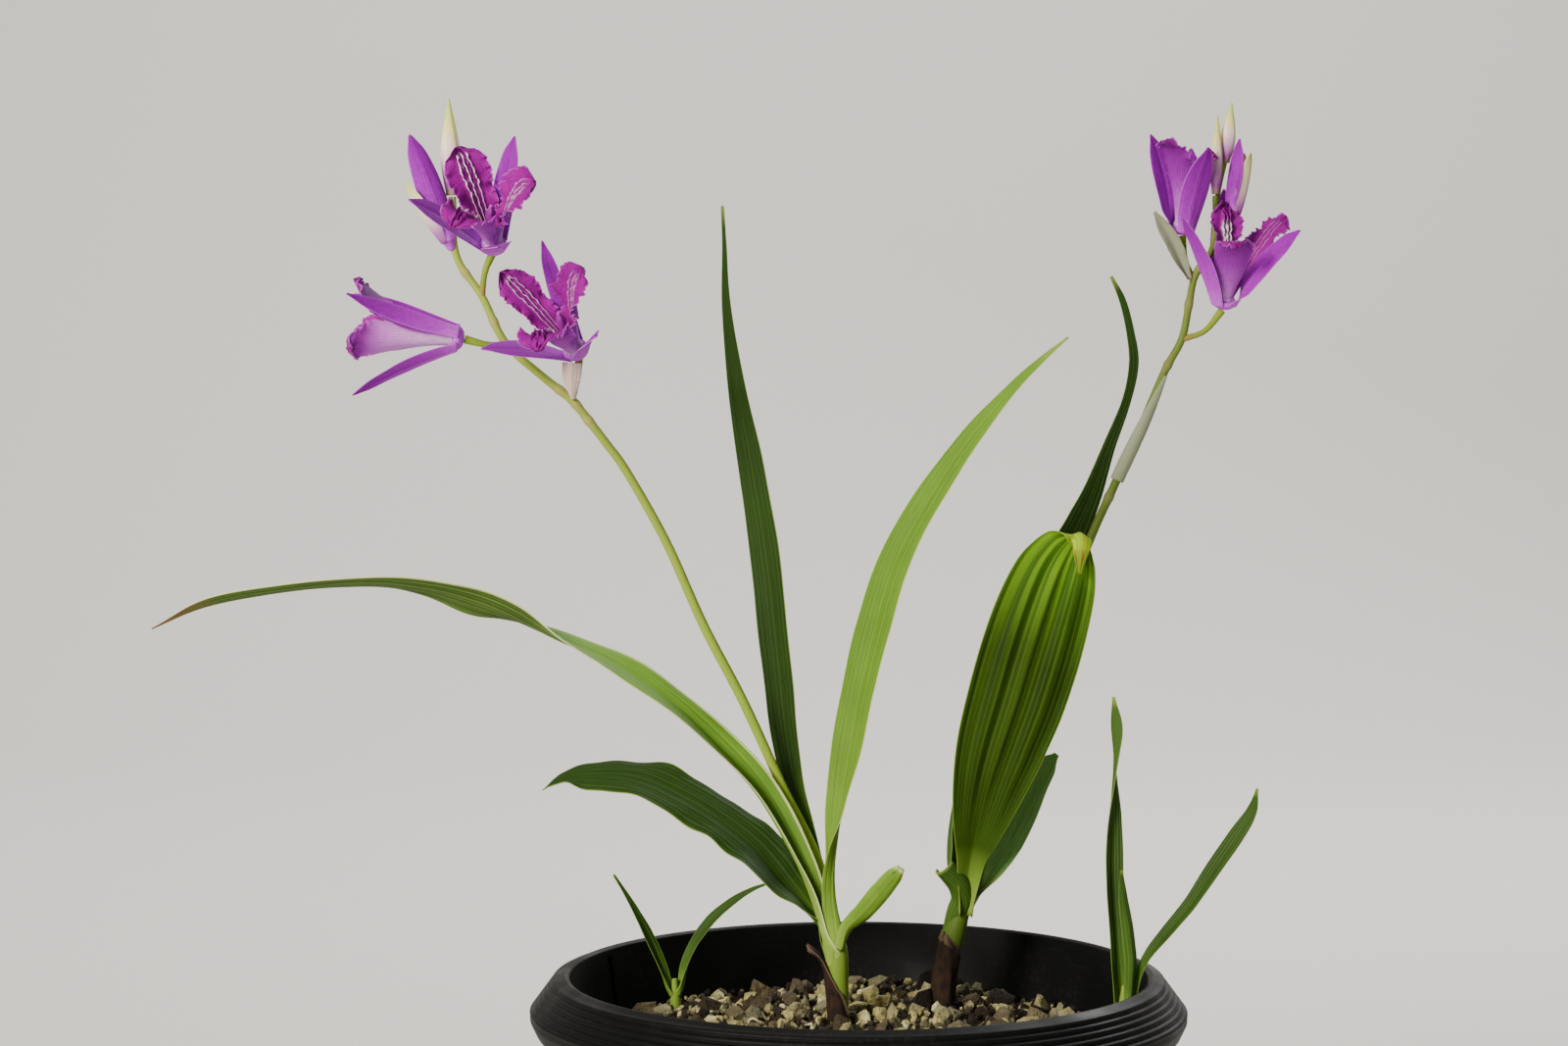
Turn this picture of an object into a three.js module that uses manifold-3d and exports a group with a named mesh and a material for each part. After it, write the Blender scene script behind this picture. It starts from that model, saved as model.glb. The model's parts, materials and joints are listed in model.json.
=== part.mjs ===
// Bletilla orchid in a nursery pot: two flowering growths and two young shoots in a gritty potting mix.
// Millimetres, +Z up. The origin is the centre of the pot's underside; the front of the plant looks to -Y.
import * as THREE from "three";
import { mergeVertices } from "three/addons/utils/BufferGeometryUtils.js";
import Module from "manifold-3d";

const wasm = await Module();
wasm.setup();

// ---------------------------------------------------------------- driving dimensions
const GAP = 0.3; // clearance between neighbouring pieces
const SLIVER = 0.02; // edges shorter than this are closed up after a cut
const LEAF_THICKNESS = 0.8;
const PETAL_THICKNESS = 0.6;

const POT = {
  height: 120,
  rimRadius: 71.6, // inner edge of the rim's flare, at the very top
  outerRadius: 80,
  baseRadius: 55,
  wall: 1.6,
  floor: 3,
  segments: 36,
  drains: { count: 8, radius: 4, ring: 38 },
  groove: { bearing: 152.4, width: 1.6, depth: 0.8 },
};

const MIX = {
  level: 103.5,
  mounds: [
    { x: 8, y: 44, height: 3.5, spread: 19 },
    { x: -34, y: 22, height: 1.5, spread: 16 },
  ],
  stoneSpacing: 21,
  stoneSize: [8, 11],
  seed: 7,
};

const COLOUR = {
  pot: "#2a2b2b",
  mix: "#a3906a",
  leaf: "#6e8c36",
  youngLeaf: "#7c9a40",
  stem: "#93a847",
  scape: "#a5b84a",
  sheath: "#4a3222",
  bract: "#b9a69a",
  sepal: "#b552c4",
  lip: "#8a0f7c",
  column: "#d9a4dc",
  bud: "#e3dcc0",
};

// ---------------------------------------------------------------- solids
const radians = THREE.MathUtils.degToRad;
const point = (row) => new THREE.Vector3(row[0], row[1], row[2]);

/** Turns a closed geometry into a solid that can be joined and cut. */
function solidOf(geometry) {
  const bare = new THREE.BufferGeometry();
  bare.setAttribute("position", geometry.getAttribute("position"));
  bare.setIndex(geometry.getIndex());
  const merged = mergeVertices(bare, 1e-4);
  return new wasm.Manifold(
    new wasm.Mesh({
      numProp: 3,
      vertProperties: new Float32Array(merged.getAttribute("position").array),
      triVerts: new Uint32Array(merged.getIndex().array),
    }),
  );
}

/** Turns a solid back into an indexed geometry. */
function geometryOf(solid) {
  const mesh = solid.getMesh();
  const geometry = new THREE.BufferGeometry();
  geometry.setAttribute("position", new THREE.BufferAttribute(mesh.vertProperties, 3));
  geometry.setIndex(new THREE.BufferAttribute(mesh.triVerts, 1));
  geometry.computeVertexNormals();
  return geometry;
}

const join = (solids) => solids.reduce((sum, solid) => sum.add(solid));

/** A smooth line through evenly spaced values, read at 0 to 1. */
function along(values) {
  const curve = new THREE.SplineCurve(values.map((value, i) => new THREE.Vector2(i, value)));
  return (s) => curve.getPoint(s).y;
}

/** The same numbers each time, between 0 and 1. */
function seeded(seed) {
  let state = seed;
  return () => {
    state = (state * 16807) % 2147483647;
    return state / 2147483647;
  };
}

// ---------------------------------------------------------------- blades
/** An indexed geometry from its points and triangles. */
function meshOf(points, index) {
  const geometry = new THREE.BufferGeometry();
  const values = points.flatMap((v) => v.toArray());
  geometry.setAttribute("position", new THREE.Float32BufferAttribute(values, 3));
  geometry.setIndex(index);
  return geometry;
}

/**
 * Closes a curved sheet into a thin solid. `surface(s, t)` gives the middle of the sheet for s from 0 to 1
 * along it and t from -1 to 1 across it, and `overhang` lengthens both its ends. Both faces are split along
 * the same diagonals.
 */
function bladeGeometry(surface, rows, columns, thickness, overhang = 0) {
  const middle = [];
  for (let i = 0; i <= rows; i += 1) {
    for (let j = 0; j <= columns; j += 1) middle.push(surface(i / rows, (2 * j) / columns - 1));
  }
  const at = (i, j) => middle[i * (columns + 1) + j];
  const lengthen = (end, next) => end.addScaledVector(end.clone().sub(next).normalize(), overhang);
  for (let j = 0; j <= columns; j += 1) {
    lengthen(at(0, j), at(1, j));
    lengthen(at(rows, j), at(rows - 1, j));
  }
  const front = [];
  const back = [];
  for (let i = 0; i <= rows; i += 1) {
    for (let j = 0; j <= columns; j += 1) {
      const lengthwise = at(Math.min(i + 1, rows), j).clone().sub(at(Math.max(i - 1, 0), j));
      const crosswise = at(i, Math.min(j + 1, columns)).clone().sub(at(i, Math.max(j - 1, 0)));
      const half = crosswise.cross(lengthwise).normalize().multiplyScalar(thickness / 2);
      front.push(at(i, j).clone().add(half));
      back.push(at(i, j).clone().sub(half));
    }
  }
  const count = front.length;
  const index = [];
  const cell = (a, b, c, d) => index.push(a, b, c, a, c, d);
  const id = (i, j) => i * (columns + 1) + j;
  for (let i = 0; i < rows; i += 1) {
    for (let j = 0; j < columns; j += 1) {
      const [a, b, c, d] = [id(i, j), id(i, j + 1), id(i + 1, j + 1), id(i + 1, j)];
      cell(a, b, c, d);
      index.push(a + count, c + count, b + count, a + count, d + count, c + count);
    }
  }
  for (let j = 0; j < columns; j += 1) {
    cell(id(0, j), id(0, j) + count, id(0, j + 1) + count, id(0, j + 1));
    cell(id(rows, j + 1), id(rows, j + 1) + count, id(rows, j) + count, id(rows, j));
  }
  for (let i = 0; i < rows; i += 1) {
    cell(id(i + 1, 0), id(i + 1, 0) + count, id(i, 0) + count, id(i, 0));
    cell(id(i, columns), id(i, columns) + count, id(i + 1, columns) + count, id(i + 1, columns));
  }
  return meshOf([...front, ...back], index);
}

/** A blade and the space that its neighbours keep clear of. */
function blade(surface, rows, columns, thickness) {
  const wide = (s, t) => surface(s, t, GAP);
  return {
    solid: solidOf(bladeGeometry(surface, rows, columns, thickness)),
    grown: solidOf(bladeGeometry(wide, rows, columns, thickness + 2 * GAP, GAP)),
  };
}

const PLEATED_WIDTH = 20; // where a leaf is at least this wide its pleats have their full height

/**
 * A leaf along `stations`, rows of [x, y, z, width, turn, fold]. At turn 0 its upper face looks back at the
 * stem it leans away from, in the direction `bearing`; a turn twists it about its midrib, and a fold lifts
 * both halves from the midrib, in degrees, with the station in the middle of the folded section. `pleats`
 * corrugates the leaf lengthwise.
 */
function leafSurface({ bearing, stations, pleats = 0, pleatHeight = 0 }) {
  const route = new THREE.CatmullRomCurve3(stations.map(point), false, "catmullrom");
  const [width, turn, fold] = [3, 4, 5].map((column) => along(stations.map((row) => row[column])));
  const lean = radians(bearing);
  const level = new THREE.Vector3(Math.sin(lean), -Math.cos(lean), 0);
  return (s, t, extra = 0) => {
    const tangent = route.getTangent(s);
    const side = level.clone().addScaledVector(tangent, -level.dot(tangent)).normalize();
    const face = side.clone().cross(tangent);
    const across = side.clone().applyAxisAngle(tangent, -radians(turn(s)));
    const upper = face.clone().applyAxisAngle(tangent, -radians(turn(s)));
    const reach = (width(s) / 2 + extra) * Math.abs(t);
    const lift = radians(fold(s));
    const pleat = pleatHeight * Math.min(1, width(s) / PLEATED_WIDTH) * Math.cos(Math.PI * pleats * t);
    return route
      .getPoint(s)
      .addScaledVector(across, Math.sign(t) * reach * Math.cos(lift))
      .addScaledVector(upper, (reach - width(s) / 4) * Math.sin(lift) + pleat);
  };
}

const leaf = ({ rows, columns, thickness = LEAF_THICKNESS, ...shape }) =>
  blade(leafSurface(shape), rows, columns, thickness);

/**
 * A sheath that wraps a stem: at s it stands at `heights(s)` along the stem's route, `radii(s)` from its
 * middle, and spreads `wraps(s)` degrees to each side of `bearing`.
 */
function sheath({ route, heights, radii, wraps, bearing, rows, columns, thickness = 0.6 }) {
  const stem = new THREE.CatmullRomCurve3(route.map(point), false, "catmullrom");
  const [height, radius, wrap] = [heights, radii, wraps].map(along);
  const surface = (s, t, extra = 0) => {
    const middle = stem.getPoint(height(s));
    const tangent = stem.getTangent(height(s));
    const out = new THREE.Vector3(Math.cos(radians(bearing)), Math.sin(radians(bearing)), 0);
    out.addScaledVector(tangent, -out.dot(tangent)).normalize();
    const angle = t * (radians(wrap(s)) + extra / radius(s));
    return middle.addScaledVector(out.applyAxisAngle(tangent, angle), radius(s));
  };
  return blade(surface, rows, columns, thickness);
}

// ---------------------------------------------------------------- stems and buds
/** A round tapering stem along `route`, with `radii` evenly spaced from its foot to its tip. */
function stemGeometry(route, radii, sides, steps) {
  const curve = new THREE.CatmullRomCurve3(route, false, "catmullrom");
  const radius = along(radii);
  const frames = curve.computeFrenetFrames(steps, false);
  const positions = [];
  for (let i = 0; i <= steps; i += 1) {
    const middle = curve.getPointAt(i / steps);
    for (let j = 0; j < sides; j += 1) {
      const angle = (2 * Math.PI * j) / sides;
      const spoke = frames.normals[i].clone().multiplyScalar(Math.cos(angle));
      spoke.addScaledVector(frames.binormals[i], Math.sin(angle));
      positions.push(middle.clone().addScaledVector(spoke, radius(i / steps)));
    }
  }
  positions.push(curve.getPointAt(0), curve.getPointAt(1));
  const foot = positions.length - 2;
  const tip = positions.length - 1;
  const index = [];
  for (let j = 0; j < sides; j += 1) {
    const next = (j + 1) % sides;
    for (let i = 0; i < steps; i += 1) {
      const [a, b] = [i * sides + j, i * sides + next];
      index.push(a, b, b + sides, a, b + sides, a + sides);
    }
    index.push(foot, next, j, tip, steps * sides + j, steps * sides + next);
  }
  return meshOf(positions, index);
}

/** A stem and the space that its neighbours keep clear of. */
function stem({ route, radii, sides = 8, steps = 8 }) {
  const points = route.map(point);
  const longer = points.map((p) => p.clone());
  const last = points.length - 1;
  longer[0].addScaledVector(points[0].clone().sub(points[1]).normalize(), GAP);
  longer[last].addScaledVector(points[last].clone().sub(points[last - 1]).normalize(), GAP);
  const wider = radii.map((r) => r + GAP);
  return {
    solid: solidOf(stemGeometry(points, radii, sides, steps)),
    grown: solidOf(stemGeometry(longer, wider, sides, steps)),
  };
}

/** Several pieces grown together as one. */
const fused = (pieces) => ({
  solid: join(pieces.map((piece) => piece.solid)),
  grown: join(pieces.map((piece) => piece.grown)),
});

/** A pointed closed bud from `from` to `to`. */
const bud = (from, to, width) =>
  stem({
    route: [from, from.map((v, i) => v + (to[i] - v) * 0.5), to],
    radii: [0.3, 0.42, 0.5, 0.47, 0.36, 0.2, 0.06].map((share) => share * width),
    sides: 6,
    steps: 6,
  });

// ---------------------------------------------------------------- flowers
/** A matrix that stands a bloom's own +Z along `axis` at `at`, its azimuth 0 level and square to +Y. */
function bloomPlace({ at, axis }) {
  const z = point(axis).normalize();
  const x = new THREE.Vector3(0, 1, 0).cross(z).normalize();
  const y = z.clone().cross(x);
  return new THREE.Matrix4().makeBasis(x, y, z).setPosition(point(at));
}

const TUBE_SHARE = 1; // radians to each side of a petal's middle where three of them close a tube

/**
 * A petal or sepal in its bloom's own frame, with place = [azimuth, opening, length, share of full width].
 * It leaves the axis at `start` = [radius, height], opens by `opening` degrees on average and bends outward
 * by `bend` either side of that. `wrap` cups it round the axis, `ruffle` waves its margins and `keel` lifts
 * its middle.
 */
function petalSurface({ place, start, bend, widths, wrap, ruffle = 0, waves = 0, keel = 0 }) {
  const [azimuth, opening, length, share = 1] = place;
  const width = along(widths.map((value) => value * share));
  const first = radians(opening - bend);
  const turn = 2 * radians(bend);
  const pace = length / turn;
  return (s, t, extra = 0) => {
    const lean = first + turn * s;
    const radius = start[0] + pace * (Math.cos(first) - Math.cos(lean));
    const height = start[1] + pace * (Math.sin(lean) - Math.sin(first));
    const half = Math.min(width(s) / 2, TUBE_SHARE * radius) + extra;
    const cup = (half / radius) * wrap(s);
    const arc = half / cup;
    const wave = ruffle * t ** 2 * Math.sin(2 * Math.PI * waves * s + 2.2 * t) * Math.min(1, 4 * s);
    const ridge = keel * (1 - Math.abs(t)) ** 3 * Math.sin(Math.PI * s);
    const inward = arc * (1 - Math.cos(t * cup)) + wave + ridge;
    return new THREE.Vector3(
      radius - inward * Math.cos(lean),
      -arc * Math.sin(t * cup),
      height + inward * Math.sin(lean),
    ).applyAxisAngle(new THREE.Vector3(0, 0, 1), radians(azimuth));
  };
}

const SEPAL = {
  start: [3.1, 0],
  bend: 9,
  widths: [3.4, 5.4, 6.8, 7.2, 6.4, 4.6, 0.9],
  wrap: (s) => 0.75 - 0.45 * s,
};

const LIP = {
  start: [1.9, 1.4],
  bend: 12,
  widths: [3.2, 5.2, 7.2, 8.8, 9.2, 10.4, 9.2, 4.2],
  wrap: (s) => 1 - 0.6 * s,
  ruffle: 0.9,
  waves: 2.6,
  keel: 0.7,
};

/** A solid of revolution about Z from [radius, height] pairs. */
const turned = (profile, sides) =>
  new THREE.LatheGeometry(profile.map(([r, z]) => new THREE.Vector2(r, z)), sides).rotateX(Math.PI / 2);

/** A short round disc or ring on a bloom's axis. */
function collar(inner, outer, bottom, top, sides = 8) {
  const profile = [
    [inner, bottom],
    [outer, bottom],
    [outer, top],
    [inner, top],
  ];
  if (inner > 0) profile.push([inner, bottom]);
  return turned(profile, sides);
}

/** One bloom as its own pieces: sepals on the ovary's tip, the lips round the throat, and the column. */
function bloom({ sepals, lips, ...place }) {
  const matrix = bloomPlace(place);
  const set = (piece) => ({
    solid: piece.solid.transform(matrix.toArray()),
    grown: piece.grown.transform(matrix.toArray()),
  });
  const ring = (inner, outer, bottom, top) => ({
    solid: solidOf(collar(inner, outer, bottom, top)),
    grown: solidOf(collar(Math.max(0, inner - GAP), outer + GAP, bottom - GAP, top + GAP)),
  });
  const organ = (shape, rows, columns) => (placed) =>
    blade(petalSurface({ ...shape, place: placed }), rows, columns, PETAL_THICKNESS);
  const column = stem({
    route: [[0, 0, 0.9], [0.3, 0, 8], [1.3, 0, 15]],
    radii: [1, 0.9, 1, 1.4, 1],
    sides: 6,
    steps: 4,
  });
  return {
    sepals: set(fused([ring(0, 3, -1.4, 0.5), ...sepals.map(organ(SEPAL, 6, 2))])),
    lips: set(fused([ring(1.6, 2.5, 0.9, 2.2), ...lips.map(organ(LIP, 6, 4))])),
    column: set(column),
  };
}

const BUD_SEPAL = { ...SEPAL, start: [1.7, 0.2], bend: -8, wrap: () => 0.75 };

/** A bud that has begun to open: sepals still closed round a slim core. */
function openingBud({ sepals, core, ...place }) {
  const matrix = bloomPlace(place).toArray();
  const organ = (placed) => blade(petalSurface({ ...BUD_SEPAL, place: placed }), 6, 2, PETAL_THICKNESS);
  const heart = stem({
    route: [[0, 0, -0.5], [0, 0, core / 2], [0, 0, core]],
    radii: [2.5, 1, 1, 0.8, 0.4],
    sides: 6,
    steps: 4,
  });
  const whole = fused([heart, ...sepals.map(organ)]);
  return { solid: whole.solid.transform(matrix), grown: whole.grown.transform(matrix) };
}

// ---------------------------------------------------------------- assembly
const orchid = new THREE.Group();
orchid.name = "bletilla_orchid";
const standing = []; // the pieces placed so far, with the space each keeps clear

const overlaps = (a, b) => a.min.every((low, i) => low < b.max[i] && b.min[i] < a.max[i]);

/** Cuts a piece clear of those already standing and keeps its largest part. */
function cleared(solid) {
  let result = solid;
  for (const other of standing) {
    if (!overlaps(result.boundingBox(), other.grown.boundingBox())) continue;
    if (result.intersect(other.grown).volume() < 1e-4) continue;
    result = result.subtract(other.grown);
  }
  const parts = result.decompose();
  parts.sort((a, b) => b.volume() - a.volume());
  return parts[0];
}

/** Stands a piece in the pot: cut clear of its neighbours, named and coloured. */
function plant(name, colour, piece, roughness = 0.5) {
  const solid = cleared(piece.solid).simplify(SLIVER);
  standing.push({ name, solid, grown: piece.grown });
  const material = new THREE.MeshStandardMaterial({ color: colour, roughness, metalness: 0 });
  const mesh = new THREE.Mesh(geometryOf(solid), material);
  mesh.name = name;
  orchid.add(mesh);
}

// ---------------------------------------------------------------- growth A: the tall left raceme
const STEM_A = [[-4.2, 14, 88], [-4.2, 14, 101], [-4.6, 14, 114], [-4.9, 14, 122], [-5.7, 14, 127.4]];

plant("pseudostem_a", COLOUR.stem, stem({ route: STEM_A, radii: [2.1, 2.1, 2.4, 2.5, 2.8], steps: 7 }));

const pedicel = (route, radii = [0.9, 0.8, 1.1]) => stem({ route, radii, sides: 5, steps: 3 });

plant(
  "scape_a",
  COLOUR.scape,
  fused([
    stem({
      route: [
        [-6.1, 14.2, 126.8], [-9.8, 13.5, 144.6], [-18.4, 13, 162.9], [-28.1, 11, 184.6], [-37.8, 9, 203.9],
        [-46.8, 6, 224.5], [-56.2, 3, 241.7], [-61, 1.5, 248.6], [-65.5, 0, 254.6], [-69.4, -1, 259.4],
        [-77.1, -2.5, 265.8], [-85.2, -4, 273.4],
        [-90.6, -5, 284.5], [-96.6, -6, 294.2], [-97.3, -7.5, 308],
      ],
      radii: [1.5, 1.25, 1.2, 1.2, 1.15, 1.1, 1.05, 1, 0.9, 0.9],
      sides: 7,
      steps: 19,
    }),
    pedicel([[-90.6, -5, 284.2], [-89.7, -6, 290.3], [-87.9, -5, 294.3]]),
    pedicel([[-69.4, -1, 258.6], [-67.9, -1.6, 264.6], [-67.6, 0, 269]]),
    pedicel([[-84.6, -4, 272.8], [-88.9, -6.5, 272.7], [-93.8, -7.9, 274]], [1.1, 0.9, 1.2]),
  ]),
);

plant(
  "leaf_a4",
  COLOUR.leaf,
  leaf({
    bearing: 0,
    rows: 15,
    columns: 4,
    stations: [
      [-5.2, 12.2, 127, 7, 45, 62], [-6.6, 11.6, 136.5, 7, 30, 58], [-6.6, 11, 145, 6.5, 0, 50],
      [-5, 10.5, 157, 8, -35, 38], [-2.5, 10, 172, 10, -52, 25], [0.7, 9, 189, 11, -50, 18],
      [4.2, 8, 203.5, 11, -50, 15], [9, 6, 219.5, 10.5, -46, 12], [17.8, 4, 236, 9.5, -43, 10],
      [26.7, 2, 249.5, 7.5, -40, 8], [36.8, 0, 261.8, 4, -38, 5], [44, -1, 269, 2.4, -38, 0],
      [50.4, -2, 274.5, 0.9, -38, 0],
    ],
  }),
);
plant(
  "leaf_a1",
  COLOUR.leaf,
  leaf({
    bearing: 180,
    rows: 18,
    columns: 4,
    stations: [
      [-8, 13, 129, 7, 10, 58], [-12.4, 12.5, 142, 9, 30, 48], [-18, 12, 153.2, 10.5, 38, 38],
      [-24.7, 11, 164, 11.5, 38, 32], [-34.2, 9, 174.7, 11.4, 34, 25], [-46.2, 6, 185.8, 11.2, 30, 18],
      [-59.6, 3, 194.8, 11, 26, 12], [-73.4, 0, 202, 11, 12, 8], [-84.5, -3, 207.4, 11, -18, 6],
      [-94, -5, 210.8, 10.8, -42, 6], [-104.5, -7, 214, 9.4, -28, 8], [-119, -10, 216, 7.4, -12, 10],
      [-137.5, -13, 214.5, 6, -14, 8], [-155.5, -16, 211.5, 4, -25, 5], [-168.5, -18, 205.5, 0.9, -25, 0],
    ],
  }),
);
plant(
  "leaf_a3",
  COLOUR.leaf,
  leaf({
    bearing: 90,
    rows: 14,
    columns: 2,
    stations: [
      [-7.4, 16, 129, 6, 10, 58], [-11.5, 17, 148.5, 6.5, 25, 35], [-15.5, 19, 163, 7.5, 30, 28],
      [-18, 21, 178, 8.5, 30, 22], [-20, 23, 197, 9, 30, 18], [-22.5, 25, 219, 9, 30, 15],
      [-26, 27, 241, 7.5, 28, 12], [-30, 29, 263, 4.8, 25, 10], [-32.5, 31, 282.5, 2.4, 20, 5],
      [-33, 33, 297, 1.2, 15, 0], [-33.5, 34, 306.8, 0.9, 10, 0],
    ],
  }),
);
plant(
  "leaf_a2",
  COLOUR.leaf,
  leaf({
    bearing: 150,
    rows: 12,
    columns: 4,
    stations: [
      [-7.2, 15.5, 126.5, 6.4, 0, 50], [-12.4, 17, 133.6, 12, 12, 35], [-18.4, 19.6, 139.8, 15, 22, 25],
      [-25.2, 23, 146.8, 15, 30, 15], [-33.6, 27, 152.8, 14.2, 30, 10], [-43.6, 31, 158.2, 14.4, 28, 8],
      [-55, 35, 162.6, 14, 30, 6], [-67.5, 38, 163, 10.5, 32, 5], [-75, 39, 161.8, 6, 25, 3],
      [-79.5, 40, 159, 0.9, 25, 0],
    ],
  }),
);
plant(
  "leaf_a5",
  COLOUR.youngLeaf,
  leaf({
    bearing: -45,
    rows: 8,
    columns: 2,
    stations: [
      [-4.4, 11, 126.2, 3.8, -20, 50], [-2.2, 8, 130.4, 4.8, -45, 35], [1, 5, 133.8, 5.8, -52, 22],
      [3.8, 2, 137.6, 6, -52, 18], [6.4, -0.5, 141.2, 5.4, -50, 12], [8.4, -2.5, 143.8, 4.2, -45, 8],
      [9.9, -4, 145.6, 2, -40, 0],
    ],
  }),
);
plant(
  "sheath_a",
  COLOUR.sheath,
  sheath({
    route: STEM_A,
    heights: [0.33, 0.42, 0.55, 0.7, 0.85],
    radii: [3.4, 3.5, 3.9, 5, 8],
    wraps: [165, 150, 105, 55, 14],
    bearing: 165,
    rows: 5,
    columns: 6,
  }),
  0.8,
);
plant(
  "bract_a",
  COLOUR.bract,
  leaf({
    bearing: -105,
    rows: 5,
    columns: 2,
    thickness: 0.6,
    stations: [
      [-69, -2.9, 259.6, 2.4, 0, 40], [-69.3, -4, 262.6, 4.4, 0, 35], [-69.2, -4.6, 265.6, 4.6, 0, 30],
      [-69, -4.8, 268.4, 4, 0, 25],
    ],
  }),
  0.8,
);

// ---------------------------------------------------------------- growth B: the right raceme
const STEM_B = [[21.4, 33, 88], [21.6, 33, 101], [22.8, 33, 114], [24.6, 33, 122], [27, 33, 130]];

plant("pseudostem_b", COLOUR.stem, stem({ route: STEM_B, radii: [2.1, 2.1, 2.1, 2.4, 2.7], steps: 7 }));
plant(
  "scape_b",
  COLOUR.scape,
  fused([
    stem({
      route: [
        [27.2, 33.6, 129.2], [33, 36, 151], [41.5, 39, 176], [52.7, 42, 205.4], [60.2, 43.5, 224],
        [65.7, 44.5, 236.1], [71.5, 45, 248.8], [78.4, 46, 264.9], [82.9, 46, 273.6], [84.8, 46, 283.5],
        [86.2, 46, 289.6], [90.2, 46, 295.6], [91.2, 46, 302], [91.1, 46, 309.6],
      ],
      radii: [1.5, 1.3, 1.25, 1.2, 1.2, 1.2, 1.15, 1.1, 1.1, 1, 1, 0.95, 0.9, 0.8],
      sides: 7,
      steps: 19,
    }),
    pedicel([[83, 46, 273.4], [88.6, 45.6, 275.4], [93, 46.7, 280]]),
    pedicel([[85.6, 46, 288.4], [83.6, 46.6, 293.6], [82.9, 47.6, 298.9]]),
    pedicel([[91, 46, 304], [92, 47.1, 311], [93.6, 47.9, 317.6]], [0.8, 0.7, 0.8]),
    pedicel([[90.4, 46, 296.6], [92.9, 46, 300.4], [94.8, 46, 303.4]], [0.9, 0.8, 1]),
  ]),
);
plant(
  "leaf_b1",
  COLOUR.leaf,
  leaf({
    bearing: 90,
    rows: 11,
    columns: 14,
    pleats: 7,
    pleatHeight: 0.7,
    stations: [
      [28, 30.4, 131, 4.4, 0, 55], [28.8, 29, 142, 8, 0, 30], [30.8, 26.5, 152.5, 14, 0, 15],
      [33.2, 24, 163, 19, 0, 8], [36, 22, 173, 22.5, 0, 0], [39.4, 20, 184, 24.5, 0, 0],
      [42.8, 19, 195, 24.5, 0, 0], [47, 19, 206, 23, 0, -5], [51.6, 20, 216.5, 18.5, 0, -5],
      [55.4, 21.6, 223.4, 12.5, 0, -8], [57.2, 20.6, 225.4, 9.4, 0, -8], [57.4, 17.6, 223.4, 6.6, 0, -5],
      [56.7, 16.4, 219.6, 3.6, 0, 0], [56.2, 15.8, 215.8, 0.9, 0, 0],
    ],
  }),
);
plant(
  "leaf_b2",
  COLOUR.leaf,
  leaf({
    bearing: 20,
    rows: 9,
    columns: 4,
    stations: [
      [28.9, 33.6, 130.4, 5, -10, 55], [34, 35.5, 139, 8, -45, 30], [38, 37.5, 145.5, 9.6, -50, 20],
      [41.8, 39.5, 152.8, 9.6, -52, 15], [45.2, 41, 159.8, 8, -50, 10], [48.6, 42, 164.9, 5.4, -50, 5],
      [51, 42.5, 167.7, 0.9, -50, 0],
    ],
  }),
);
plant(
  "leaf_b3",
  COLOUR.leaf,
  leaf({
    bearing: 130,
    rows: 8,
    columns: 4,
    stations: [
      [26, 36, 130.4, 5, 0, 55], [24.2, 37.5, 142, 8, -30, 35], [25.2, 40, 154, 10, -35, 22],
      [28.4, 43, 167, 10, -35, 15], [33, 46, 180, 8, -35, 10], [37, 48, 190, 5, -35, 5],
      [40, 50, 197, 0.9, -35, 0],
    ],
  }),
);
plant(
  "leaf_b4",
  COLOUR.leaf,
  leaf({
    bearing: 80,
    rows: 16,
    columns: 2,
    stations: [
      [28, 36.6, 131, 5, 0, 55], [33, 41, 155, 8, -5, 30], [40, 44, 180, 9.5, -10, 22],
      [46.5, 46.5, 200, 10, -15, 18], [52.3, 48, 216, 9.5, -18, 15], [57, 49.5, 226, 7.5, -25, 12],
      [61, 50.5, 235, 5.6, -30, 10], [65, 51.5, 246, 3.6, -30, 8], [69.5, 53, 257.5, 2.6, -30, 5],
      [71.5, 55, 267, 2.8, -25, 5], [70.7, 56, 275, 2.2, -20, 3], [68.8, 57, 283, 1.8, -10, 0],
      [65.8, 57, 289.3, 0.9, 0, 0],
    ],
  }),
);
plant(
  "leaf_b5",
  COLOUR.youngLeaf,
  leaf({
    bearing: 150,
    rows: 10,
    columns: 2,
    stations: [
      [31.6, 31.6, 128.2, 3, -60, 0], [29.4, 29.2, 131.4, 5.4, -60, 0], [26.2, 28.4, 133.6, 6.6, -60, 0],
      [23, 28.8, 136.2, 6.4, -45, 0], [20.8, 29.8, 138.4, 5.6, -20, 0], [19.9, 30.4, 140.8, 4.8, 0, 0],
      [21.1, 31.2, 142.6, 3.8, 0, 0], [22.6, 31.8, 141.4, 2.4, 0, 0],
    ],
  }),
);
plant(
  "sheath_b",
  COLOUR.sheath,
  sheath({
    route: STEM_B,
    heights: [0.33, 0.45, 0.58, 0.68, 0.76],
    radii: [3.4, 3.3, 3.3, 3.4, 3.7],
    wraps: [165, 160, 135, 95, 30],
    bearing: 190,
    rows: 4,
    columns: 6,
  }),
  0.8,
);
plant(
  "scape_sheath_b",
  COLOUR.stem,
  sheath({
    route: [[65.7, 44.5, 236.1], [71.5, 45, 248.8], [78.4, 46, 264.9]],
    heights: [0.06, 0.25, 0.5, 0.75, 0.98],
    radii: [2.2, 2.2, 2.2, 2.2, 2.2],
    wraps: [160, 120, 80, 45, 12],
    bearing: -70,
    rows: 4,
    columns: 6,
  }),
);
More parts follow.
